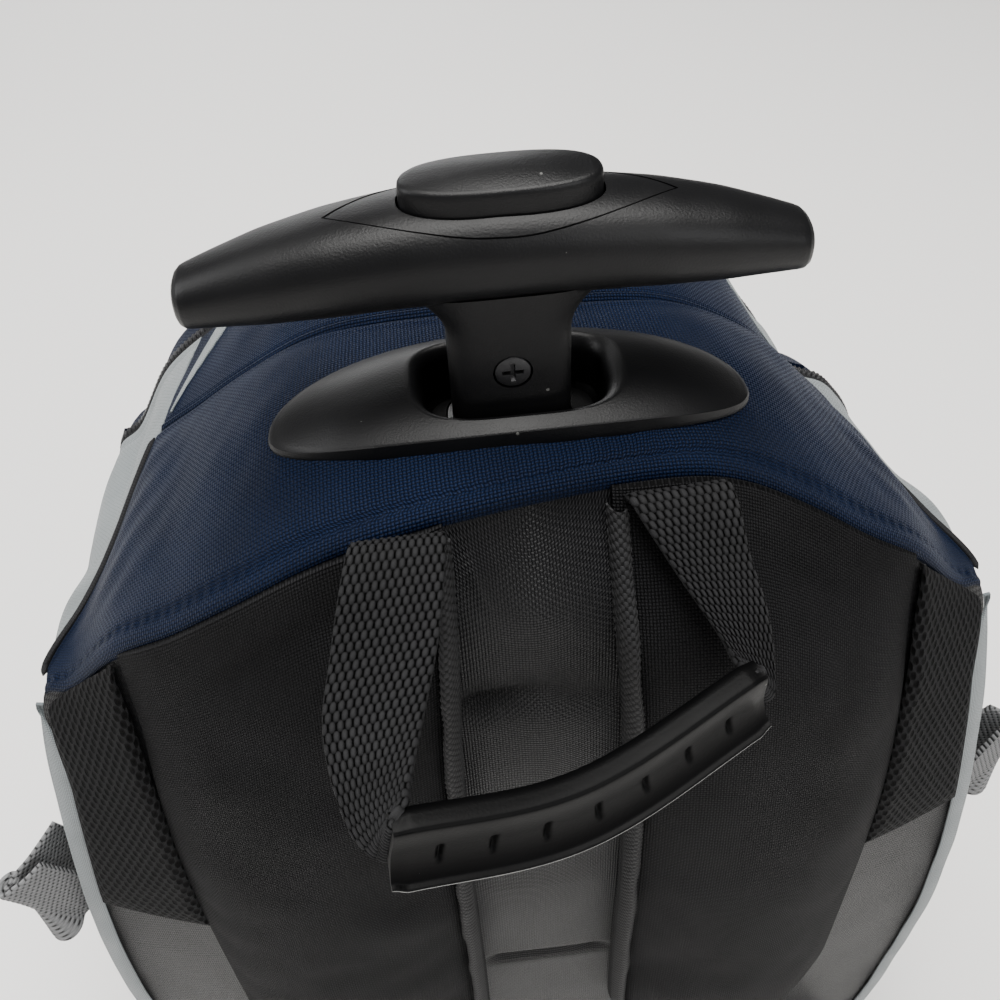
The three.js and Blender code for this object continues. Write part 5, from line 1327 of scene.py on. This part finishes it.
# Side pockets. Each is a pouch in black cloth, sewn on low over the grey side. It is gathered at the
# base and has a bound, slightly stretched mouth.
pocket_cloth = woven("pocket_cloth", (0.003, 0.003, 0.0033), (0.024, 0.024, 0.0255), 0.00062, 0.00014, 0.5)
POCKET_TOP_Z = 176
SIDE_POCKET_OUT = 14
for side, word in SIDES:
    heights = [float(along_seam(lambda spot: -spot[..., 2], -height, 1.0, tip_share))
               for height in (POCKET_TOP_Z, SEAM_Z + 6)]
    top_share, low_share = [(share - tip_share) / (1 - tip_share) for share in heights]

    def pouch_face(u, v):
        puff = SIDE_POCKET_OUT * np.maximum(0, np.sin(math.pi * u)) ** 0.5 * (1 - 0.65 * v)
        binding = 0.8 * soft_step(0.06, 0.045, v)
        folds = 1.3 * ripple(u * 90, v * 60, 81 + side, 34) * soft_step(0.02, 0.2, v) * np.sin(math.pi * u)
        gather = 0.9 * np.sin(u * 95) * soft_step(0.55, 1, v) * np.sin(math.pi * u)
        return side_place(side, top_share + (low_share - top_share) * v, 0.06 + 0.88 * u,
                          0.8 + puff + 1.6 + binding + folds + gather)

    pouch = cloth_sheet(f"side_pouch_{word}", pouch_face, 1.5, 130, 90, pocket_cloth)
    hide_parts(f"side_pocket_{word}")


# Strap ends. Ribbed webbing comes out of a moulded ladder lock under each strap, slants outwards and
# is sewn in at the base.
WEBBING_WIDTH = 25
WEBBING_SPREAD = 38
LOCK_TALL = 16
LOCK_HALF = 17
LOCK_HALF_DEEP = 2.4
LOCK_COUNT, EYE_COUNT = 96, 32
EYE_PLACES = (4.9, 11.1)
strap_end_x = STRAP_X + STRAP_SPREAD

for side, word in SIDES:
    low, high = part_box(f"ladder_lock_{word}")
    middle_y = ((low.y + high.y) / 2 - AXIS_Y) / MM
    low_z = low.z / MM
    outline = oval(LOCK_HALF - 0.1, LOCK_TALL / 2 - 0.1, LOCK_COUNT, 9)
    rings = []
    for depth_share, inset in ((-1, 0.7), (-0.75, 0.15), (-0.4, 0), (0.4, 0), (0.75, 0.15), (1, 0.7)):
        line = outline * (1 - inset / np.array([LOCK_HALF, LOCK_TALL / 2]))
        deep = np.full(LOCK_COUNT, middle_y + LOCK_HALF_DEEP * depth_share)
        up = low_z + LOCK_TALL / 2 + line[:, 1]
        rings.append(np.column_stack([side * strap_end_x + line[:, 0], deep, up]))
    lock = piece_from(f"ladder_lock_{word}_moulded", np.vstack(rings), ring_faces(len(rings), LOCK_COUNT),
                      black_plastic)
    for slot_z in EYE_PLACES:
        eye = oval(13, 1.75, EYE_COUNT, 4)
        ends = [np.column_stack([side * strap_end_x + eye[:, 0], np.full(EYE_COUNT, middle_y + far),
                                 low_z + slot_z + eye[:, 1]]) for far in (-6, 6)]
        carve(lock, piece_from("eye", np.vstack(ends), ring_faces(2, EYE_COUNT), black_plastic, body=None))
    soften(lock)
    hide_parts(f"ladder_lock_{word}")

    run_z = np.linspace(low_z - 0.4, SEAM_Z + 2, 12)
    run_x = strap_end_x + WEBBING_SPREAD * np.linspace(0, 1, 12)
    run_y = back_y(run_x, run_z) - 1.7
    webbing = ribbon(f"strap_webbing_{word}_woven", np.stack([side * run_x, run_y, run_z], axis=1),
                     lambda v: np.tile([1.0, 0.0, 0.0], (len(v), 1)), WEBBING_WIDTH, 1.3, 60, 120,
                     webbing_black, lambda a, b: capsule_relief(a, b, 2.4, 1.6), 0.2)
    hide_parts(f"strap_webbing_{word}")


# Front shell. Navy cloth over light foam is cut round and domed. It bulges softly between its seams
# and rolls back to the zip.
FRONT_Y = 150
FRONT_ROUND = 36
FRONT_DOME = 9
FACE_SHARE = 1 - FRONT_ROUND / HALF_WIDTH
LOW_Z = SEAM_Z + GAP


def front_y_at(share):
    turn = np.clip((share - FACE_SHARE) / (1 - FACE_SHARE), 0, 1)
    domed = FRONT_Y + FRONT_DOME * (1 - np.minimum(share / FACE_SHARE, 1) ** 2) ** 2
    return np.where(share > FACE_SHARE, FRONT_Y - FRONT_ROUND * (1 - np.sqrt(1 - turn ** 2)), domed)


edge_angles = np.arctan2(down_seam[:, 0], np.maximum(down_seam[:, 2] - LOW_Z, 1e-6))


def front_y(x, z):
    angle = np.arctan2(np.abs(x), np.maximum(z - LOW_Z, 1e-6))
    edge = [np.interp(angle, edge_angles, down_seam[:, k]) for k in (0, 2)]
    share = np.hypot(x, z - LOW_Z) / np.hypot(edge[0], edge[1] - LOW_Z)
    return front_y_at(np.minimum(1, share))


def shell_face(u, v):
    straight, round_end = 1 / 9, 5 / 9
    turn = np.clip((v - straight) / (round_end - straight), 0, 1) * math.pi / 2
    share = FACE_SHARE + (1 - FACE_SHARE) * np.cos(turn)
    y = FRONT_Y - FRONT_ROUND * (1 - np.sin(turn))
    rim_y = ZIP_Y + ZIP_WIDTH + GAP / 2
    y = np.where(v < straight, rim_y + (FRONT_Y - FRONT_ROUND - rim_y) * v / straight, y)
    inner = FACE_SHARE * (1 - np.clip((v - round_end) / (1 - round_end), 0, 1))
    share = np.where(v > round_end, inner, share)
    y = np.where(v > round_end, front_y_at(inner), y)
    edge = seam_at(u)
    x = edge[..., 0] * share
    z = LOW_Z + (edge[..., 2] - LOW_Z) * share
    rest = np.minimum(1, np.minimum.reduce([u, 1 - u, v * 1.5]) * 12) * soft_step(0, 0.15, share)
    y = y + rest * (1.2 * ripple(x, z, 91, 120) + 0.6 * ripple(x, z, 92, 46)) - 0.8 * mound(v, 0.02, 0.012)
    return np.stack([x, y, np.maximum(z, LOW_Z)], axis=-1)


shell = cloth_sheet("navy_front_shell", shell_face, 1.6, 260, 150, navy_cloth)
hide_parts("front_panel")


# Front pocket. A raised pocket in the same navy cloth stands on the shell, with a welt round its face
# and a zip over its top.
FRONT_POCKET_HALF = 106
FRONT_POCKET_LOW_Z, FRONT_POCKET_TOP_Z = 92, 292
FRONT_POCKET_OUT = 17
POCKET_MIDDLE_Z = (FRONT_POCKET_LOW_Z + FRONT_POCKET_TOP_Z) / 2
POCKET_HALF_Z = (FRONT_POCKET_TOP_Z - FRONT_POCKET_LOW_Z) / 2
POCKET_COUNT = 240
# Rings of the pocket's wall inside and outside, as shares of its outline
POCKET_INSIDE = [0.03, 0.2, 0.4, 0.6, 0.75, 0.85, 0.92, 0.96, 0.985]
POCKET_OUTSIDE = [1.0, 0.997, 0.99, 0.98, 0.965, 0.95, 0.93, 0.9, 0.86, 0.8, 0.72, 0.62, 0.5, 0.38, 0.26,
                  0.14, 0.03]
pocket_line = oval(FRONT_POCKET_HALF, POCKET_HALF_Z, POCKET_COUNT, 4)


def pocket_ring(share, lift):
    x, z = pocket_line[:, 0] * share, POCKET_MIDDLE_Z + pocket_line[:, 1] * share
    calm = soft_step(1, 0.9, share)
    y = front_y(x, z) + 1.1 + lift + calm * (1.3 * ripple(x, z, 95, 90) + 0.6 * ripple(x, z, 96, 38))
    return np.column_stack([x, y, z])


pocket_rings = []
for share in POCKET_INSIDE:
    pocket_rings.append(pocket_ring(share * 0.985, max(0.0, FRONT_POCKET_OUT * (1 - share ** 5) - 0.2)))
for share in POCKET_OUTSIDE:
    welt = 1.3 * mound(share, 0.955, 0.008)
    pocket_rings.append(pocket_ring(share, FRONT_POCKET_OUT * (1 - share ** 5) + 2 + welt))
pocket_points = np.vstack(pocket_rings)
front_pocket = piece_from("navy_front_pocket", pocket_points, ring_faces(len(pocket_rings), POCKET_COUNT),
                          navy_cloth, across=pocket_points[:, 0], along=pocket_points[:, 2])
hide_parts("front_pocket")


# Zips. A black coil runs between two tapes all round the opening, and another over the front pocket. Each
# slider is a small casting with a flat pull that hangs down.
def stamp(name, shape_points, shape_faces, places, axes, material, **more):
    """Copies of a small shape, one at each place, turned by that place's three axes."""
    shape = np.asarray(shape_points, float)
    points = places[:, None] + np.einsum("pk,nkc->npc", shape, axes)
    count = len(shape)
    faces = [[corner + number * count for corner in face]
             for number in range(len(places)) for face in shape_faces]
    return piece_from(name, points.reshape(-1, 3), faces, material, **more)


zip_tape = woven("zip_tape", (0.003, 0.003, 0.0035), (0.02, 0.02, 0.022), 0.0005, 0.0001, 0.7)
coil_plastic = moulded("coil_plastic", (0.012, 0.012, 0.013), 0.32, grain=2400.0, depth=0.00002)
ZIP_TEETH = 1.1
TOOTH_PITCH = 2.1


def zip_tape_face(u, v):
    edge = seam_at(u)
    fold = 0.35 * mound(np.abs(v - 0.5) * ZIP_WIDTH, 2.4, 0.4)
    run = seam_at(np.minimum(u + 0.001, 1)) - seam_at(np.maximum(u - 0.001, 0))
    long = np.hypot(run[..., 0], run[..., 2])
    return np.stack([edge[..., 0] - run[..., 2] / long * fold, ZIP_Y + GAP / 2 + (ZIP_WIDTH - GAP) * v,
                     edge[..., 2] + run[..., 0] / long * fold], axis=-1)


tape = cloth_sheet("zip_tape_woven", zip_tape_face, 1.0, 500, 16, zip_tape)
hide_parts("main_zip")

tooth = oval(0.62, 0.62, 8)
tooth_points = np.vstack([np.column_stack([tooth[:, 0], np.full(8, y), tooth[:, 1] + 0.5 + bow])
                          for y, bow in ((-1.9, -0.55), (-1.5, 0), (0.5, 0.05), (0.9, -0.5))])


def coil(name, path, outward, forward, material):
    """Two rows of coil teeth which meet along a path."""
    steps = np.linalg.norm(np.diff(path, axis=0), axis=1)
    count = int(steps.sum() / TOOTH_PITCH)
    run = np.concatenate([[0], np.cumsum(steps)])
    at = (np.arange(2 * count) + 0.5) * TOOTH_PITCH / 2
    place = slump(np.stack([np.interp(at, run, path[:, k]) for k in range(3)], axis=1))
    out = np.stack([np.interp(at, run, outward[:, k]) for k in range(3)], axis=1)
    ahead = np.stack([np.interp(at, run, forward[:, k]) for k in range(3)], axis=1)
    ahead *= np.where(np.arange(2 * count) % 2, 1, -1)[:, None]
    along = np.cross(ahead, out)
    axes = np.stack([along, ahead, out], axis=1)
    stamp(name, tooth_points, ring_faces(4, 8), place, axes, material)


shares = np.linspace(0.001, 0.999, 1600)
path = seam_at(shares)
run = np.gradient(path, axis=0)
long = np.hypot(run[:, 0], run[:, 2])[:, None]
outward = np.stack([-run[:, 2], 0 * run[:, 0], run[:, 0]], axis=1) / long
path[:, 1] = ZIP_Y + ZIP_WIDTH / 2
coil("zip_coil", path, outward, np.tile([0.0, 1.0, 0.0], (len(path), 1)), coil_plastic)

turns = np.linspace(math.radians(14), math.radians(166), 300)
flat_share = 0.9
top_line = np.stack([np.cos(turns), np.sin(turns)], axis=1)
top_line = np.sign(top_line) * np.abs(top_line) ** 0.5 * flat_share
x, z = top_line[:, 0] * FRONT_POCKET_HALF, POCKET_MIDDLE_Z + top_line[:, 1] * POCKET_HALF_Z
lift = FRONT_POCKET_OUT * (1 - flat_share ** 5) + 3.4
path = np.stack([x, front_y(x, z) + 1.1 + lift, z], axis=1)
around = np.gradient(path, axis=0)
around /= np.linalg.norm(around, axis=1, keepdims=True)
rise = np.cross(around, np.tile([0.0, 1.0, 0.0], (len(path), 1)))
rise /= np.linalg.norm(rise, axis=1, keepdims=True)
coil("front_pocket_coil", path, np.cross(rise, around), rise, coil_plastic)
grid = path[:, None] + rise[:, None] * (np.linspace(-1, 1, 9) * 4)[None, :, None]
grid = grid - np.cross(rise, around)[:, None] * 0.3
tape_points = grid.reshape(-1, 3)
pocket_tape = piece_from("front_pocket_tape", np.vstack([tape_points, tape_points + [0, -0.6, 0]]),
                         sheet_faces(8, len(path) - 1), zip_tape, across=np.tile(lengths(grid, 1).ravel(), 2),
                         along=np.tile(lengths(grid, 0).ravel(), 2))

SLIDER_Z = 300
SLIDER_HALF, SLIDER_HALF_DEEP = 6, 4.2
SLIDER_COUNT, TAB_COUNT, BAIL_COUNT = 48, 64, 10
# Rings of the slider: shares of its half sizes, and height
SLIDER_SIZES = (
    (0.93, 0.9, 0.05), (1, 1, 0.4), (1, 1, 1.1), (0.86, 0.78, 1.3), (0.86, 0.78, 1.9), (1, 1, 2.1),
    (1, 1, 2.7), (0.9, 0.88, 3.1), (0.6, 0.5, 3.5))
# Rings of the pull: height, and inset from its outline
TAB_SIZES = ((3.6, 0.35), (3.75, 0.05), (4.6, 0.05), (4.75, 0.35), (4.75, 1.0), (4.4, 1.3))
TAB_HALF, TAB_HALF_DEEP = 11, 2.9
BAIL_R = 0.6
slider_rings = [at_height(oval(SLIDER_HALF * wide, SLIDER_HALF_DEEP * deep, SLIDER_COUNT, 3.2), height)
                for wide, deep, height in SLIDER_SIZES]
tab_line = oval(TAB_HALF, TAB_HALF_DEEP, TAB_COUNT, 5)
tab_rings = []
for height, inset in TAB_SIZES:
    line = tab_line * (1 - inset / np.array([TAB_HALF, TAB_HALF_DEEP]))
    tab_rings.append(at_height(line + [TAB_HALF - 1, 0], height))
bail_turn = np.linspace(0, math.pi, 14)
bail_run = -3.4 + 6.2 * (0.5 - 0.5 * np.cos(bail_turn))
bail_path = np.stack([bail_run, 0 * bail_turn, 3.2 + 2.1 * np.sin(bail_turn)], axis=1)
bail_rings = cord_rings(bail_path, BAIL_R, BAIL_COUNT, up=(0.0, 1.0, 0.0))
share = float(along_seam(lambda spot: -spot[..., 2], -SLIDER_Z, 1.0))
spot, (normal_x, normal_z) = seam_at(0.5 + 0.5 * share), seam_normal(share)
axes = np.array([(normal_z, 0, -normal_x), (0, 1, 0), (normal_x, 0, normal_z)])
for side, word in SIDES:
    shapes = [(np.vstack(slider_rings), ring_faces(len(slider_rings), SLIDER_COUNT)),
              (np.vstack(tab_rings), ring_faces(len(tab_rings), TAB_COUNT)),
              (bail_rings.reshape(-1, 3), ring_faces(len(bail_path), BAIL_COUNT))]
    points, faces = [], []
    for shape, shape_faces in shapes:
        faces += [[corner + len(points) for corner in face] for face in shape_faces]
        points += (shape @ axes).tolist()
    points = np.array(points) + [spot[0] + normal_x * (ZIP_TEETH + GAP), ZIP_Y + ZIP_WIDTH / 2,
                                 spot[2] + normal_z * (ZIP_TEETH + GAP)]
    slider = piece_from(f"zip_slider_{word}_cast", points * [side, 1, 1], faces, dark_steel)
    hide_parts(f"zip_slider_{word}")


# Base. A moulded tray in tough black plastic closes the bottom. It tucks in all round, and wheel wells
# are cut out of its rear corners.
BASE_Z = 24
BASE_WALL = 3
WHEEL_X, WHEEL_Y, WHEEL_R, WHEEL_WIDTH = 127, -38, 29, 20
HOUSING_WALL, HOUSING_ROOM = 2.6, 2.2
HOUSING_DROP = 7.5
HOUSING_HALF = WHEEL_WIDTH / 2 + 1 + HOUSING_WALL
HOUSING_R = WHEEL_R + HOUSING_ROOM + HOUSING_WALL
# Profile of the tray: up as a share of its height, tuck as a share of its height
TRAY_UP = [0, 0.08, 0.26, 0.55, 1]
TRAY_TUCK = [0.56, 0.33, 0.16, 0.05, 0]
tray_plastic = moulded("tough_tray_plastic", (0.011, 0.011, 0.0115), 0.56, grain=800.0, depth=0.00014)


def tray_ring(z, inset):
    half, side_y = half_seam[-1, 0] - inset, half_seam[-1, 1]
    front_start = FRONT_Y - FRONT_ROUND
    squeeze = 1 - inset / (float(front_y_at(np.array(0.0))) - front_start)
    back_x = np.linspace(-1, 1, 121)[:-1]
    back_line = np.stack([back_x * half, back_y(back_x * (half + inset), SEAM_Z + GAP) + inset], axis=1)
    side_y_run = np.linspace(side_y + inset, front_start, 61)[:-1]
    right_line = np.stack([np.full(60, half), side_y_run], axis=1)
    turn = np.cos(np.linspace(0, math.pi, 161))[:-1]
    front_run = front_start + (front_y_at(np.abs(turn)) - front_start) * squeeze
    front_line = np.stack([turn * half, front_run], axis=1)
    left_line = np.stack([np.full(60, -half), side_y_run[::-1]], axis=1)
    return at_height(np.vstack([back_line, right_line, front_line, left_line]), z)


profile = np.linspace(0, 1, 22) ** 1.3
tray_rings = []
for up in profile:
    tuck = np.interp(up, TRAY_UP, TRAY_TUCK) * (SEAM_Z - BASE_Z)
    groove = 0.6 * mound(up, 0.82, 0.02)
    tray_rings.append(tray_ring(BASE_Z + up * (SEAM_Z - BASE_Z), tuck + groove))
for up in profile[::-1]:
    tuck = np.interp(up, TRAY_UP, TRAY_TUCK) * (SEAM_Z - BASE_Z)
    tray_rings.append(tray_ring(BASE_Z + BASE_WALL + up * (SEAM_Z - BASE_Z - BASE_WALL), tuck + BASE_WALL))
tray = piece_from("moulded_base_tray", np.vstack(tray_rings), ring_faces(len(tray_rings), len(tray_rings[0])),
                  tray_plastic, sharp=50)


def brick(low, high):
    corners = [(low[0], low[1]), (high[0], low[1]), (high[0], high[1]), (low[0], high[1])]
    return np.vstack([at_height(np.array(corners), low[2]), at_height(np.array(corners), high[2])])


well_reach = HOUSING_R + GAP
for side, word in SIDES:
    ends = sorted((side * (WHEEL_X - HOUSING_HALF - GAP), side * HALF_WIDTH * 1.1))
    cutter = brick((ends[0], WHEEL_Y - 2 * well_reach, 0),
                   (ends[1], WHEEL_Y + well_reach, WHEEL_R + well_reach))
    carve(tray, piece_from("well", cutter, ring_faces(2, 4), tray_plastic, body=None))
soften(tray, 40)
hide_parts("base_tray")


# Wheels. Each is a grey rubber tyre over a black hub with five openings, on a steel pin through a moulded
# housing whose arch covers the top.
def lathe_x(profile, middle, count=72):
    """A body turned about an axle along X. profile is (radius, place along) in order round the section."""
    rings = []
    for angle in np.arange(count) / count * math.tau:
        c, s = math.cos(angle), math.sin(angle)
        rings.append([(middle[0] + along, middle[1] + radius * c, middle[2] + radius * s)
                      for radius, along in profile])
    return np.array(rings).reshape(-1, 3), ring_faces(count, len(profile), around=True)


tyre_rubber, tree, shader = new_material("tyre_rubber", (0.03, 0.03, 0.031), 0.78)
rolled = use_group(tree, grain_group, on_object(tree), Grain=1100.0)
tree.links.new(blend_color(tree, rolled["Patches"], (0.018, 0.018, 0.0185), (0.075, 0.073, 0.07)),
               shader.inputs["Base Color"])
add_bump(tree, shader, rolled["Height"], 0.00012)
HUB_HOLES, HUB_HOLE_OUT, HUB_HOLE_COUNT = 5, 14.6, 20
PIN_COUNT = 40
for side, word in SIDES:
    axis = (side * WHEEL_X, WHEEL_Y, WHEEL_R)
    half = WHEEL_WIDTH / 2
    points, faces = lathe_x([
        (WHEEL_R - 7.5, -half + 0.8), (WHEEL_R - 5, -half), (WHEEL_R - 2.4, -half + 0.3),
        (WHEEL_R - 0.8, -half + 1.6), (WHEEL_R - 0.1, -half + 3.4), (WHEEL_R, -2.6), (WHEEL_R - 0.7, -2.3),
        (WHEEL_R - 0.7, 2.3), (WHEEL_R, 2.6), (WHEEL_R - 0.1, half - 3.4), (WHEEL_R - 0.8, half - 1.6),
        (WHEEL_R - 2.4, half - 0.3), (WHEEL_R - 5, half), (WHEEL_R - 7.5, half - 0.8)], axis)
    tyre = piece_from(f"tyre_{word}", points, faces, tyre_rubber, body=f"wheel_{word}")
    points, faces = lathe_x([
        (3.4, -half + 0.2), (3.8, -half), (9, -half), (9.8, -half + 0.6), (10.4, -half + 3.4),
        (WHEEL_R - 10.5, -half + 3.6), (WHEEL_R - 9.6, -half + 1.2), (WHEEL_R - 8.2, -half + 0.9),
        (WHEEL_R - 7.6, -half + 1.4), (WHEEL_R - 7.6, half - 1.4), (WHEEL_R - 8.2, half - 0.9),
        (WHEEL_R - 9.6, half - 1.2), (WHEEL_R - 10.5, half - 3.6), (10.4, half - 3.4), (9.8, half - 0.6),
        (9, half), (3.8, half), (3.4, half - 0.2)], axis)
    hub = piece_from(f"hub_{word}", points, faces, tray_plastic, body=f"wheel_{word}", sharp=30)
    for number in range(HUB_HOLES):
        angle = number / HUB_HOLES * math.tau
        centre = (axis[1] + HUB_HOLE_OUT * math.cos(angle), axis[2] + HUB_HOLE_OUT * math.sin(angle))
        eye = oval(3.1, 2.6, HUB_HOLE_COUNT, 2.6)
        spin = np.array([(math.cos(angle), math.sin(angle)), (-math.sin(angle), math.cos(angle))])
        eye = eye @ spin + centre
        ends = [np.column_stack([np.full(HUB_HOLE_COUNT, axis[0] + far), eye])
                for far in (-half - 3, half + 3)]
        carve(hub, piece_from("eye", np.vstack(ends), ring_faces(2, HUB_HOLE_COUNT), tray_plastic, body=None))
    soften(hub, 30)
    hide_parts(f"wheel_{word}")

    shell_turn = np.linspace(math.radians(-13.5), math.radians(193.5), 90)
    outer_half, inner_half = HOUSING_HALF, HOUSING_HALF - HOUSING_WALL
    rings = []
    for angle in shell_turn:
        c, s = math.cos(angle), math.sin(angle)
        low_cut = (WHEEL_R - HOUSING_DROP - axis[2]) / s if s < 0 else HOUSING_R
        reach_out = min(HOUSING_R, low_cut)
        reach_in = min(WHEEL_R + HOUSING_ROOM, reach_out - 0.5)
        spot_at = [(4.2, -outer_half), (reach_out - 1.4, -outer_half), (reach_out - 0.4, -outer_half + 0.4),
                   (reach_out, -outer_half + 1.4), (reach_out, outer_half - 1.4),
                   (reach_out - 0.4, outer_half - 0.4), (reach_out - 1.4, outer_half), (4.2, outer_half),
                   (4.2, inner_half), (reach_in, inner_half), (reach_in, -inner_half), (4.2, -inner_half)]
        rings.append([(axis[0] + along, axis[1] + radius * c, axis[2] + radius * s)
                      for radius, along in spot_at])
    housing = piece_from(f"wheel_arch_{word}", np.array(rings).reshape(-1, 3),
                         ring_faces(len(rings), len(rings[0])), tray_plastic, sharp=35)
    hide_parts(f"wheel_housing_{word}")

    reach_half = HOUSING_HALF + GAP
    profile = [(0.02, -reach_half - 2.4), (3.6, -reach_half - 2.3), (5.0, -reach_half - 1.6),
               (5.4, -reach_half - 0.5), (5.3, -reach_half), (3, -reach_half), (3, reach_half),
               (5.3, reach_half), (5.4, reach_half + 0.5), (5.0, reach_half + 1.6), (3.6, reach_half + 2.3),
               (0.02, reach_half + 2.4)]
    points = []
    for radius, along in profile:
        for angle in np.arange(PIN_COUNT) / PIN_COUNT * math.tau:
            y, z = axis[1] + radius * math.cos(angle), axis[2] + radius * math.sin(angle)
            points.append((axis[0] + along, y, z))
    pin = piece_from(f"axle_pin_{word}", points, ring_faces(len(profile), PIN_COUNT), dark_steel)
    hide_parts(f"axle_{word}")


# Feet. Two rubber blocks under the front of the tray keep the bag upright. They widen towards the tray,
# and their lower edges are rounded off.
FOOT_X, FOOT_Y = 95, 118
FOOT_HALF, FOOT_HALF_DEEP = 20, 8
FOOT_FLARE = 1.9
FOOT_COUNT = 72
foot_rings = [at_height(oval(19.2, 7.2, FOOT_COUNT, 4), 0.0),
              at_height(oval(FOOT_HALF, FOOT_HALF_DEEP, FOOT_COUNT, 4), 0.35)]
for share in (0, 0.3, 0.6, 0.85, 1):
    line = oval(FOOT_HALF + FOOT_FLARE * share, FOOT_HALF_DEEP + FOOT_FLARE * share, FOOT_COUNT, 4)
    foot_rings.append(at_height(line, 2 + (BASE_Z - GAP - 3) * share))
foot_rings.append(at_height(oval(FOOT_HALF + 2, FOOT_HALF_DEEP + 2, FOOT_COUNT, 4), BASE_Z - GAP))
for side, word in SIDES:
    foot = piece_from(f"rubber_foot_{word}", np.vstack(foot_rings) + [side * FOOT_X, FOOT_Y, 0],
                      ring_faces(len(foot_rings), FOOT_COUNT), tyre_rubber)
    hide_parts(f"foot_{word}")
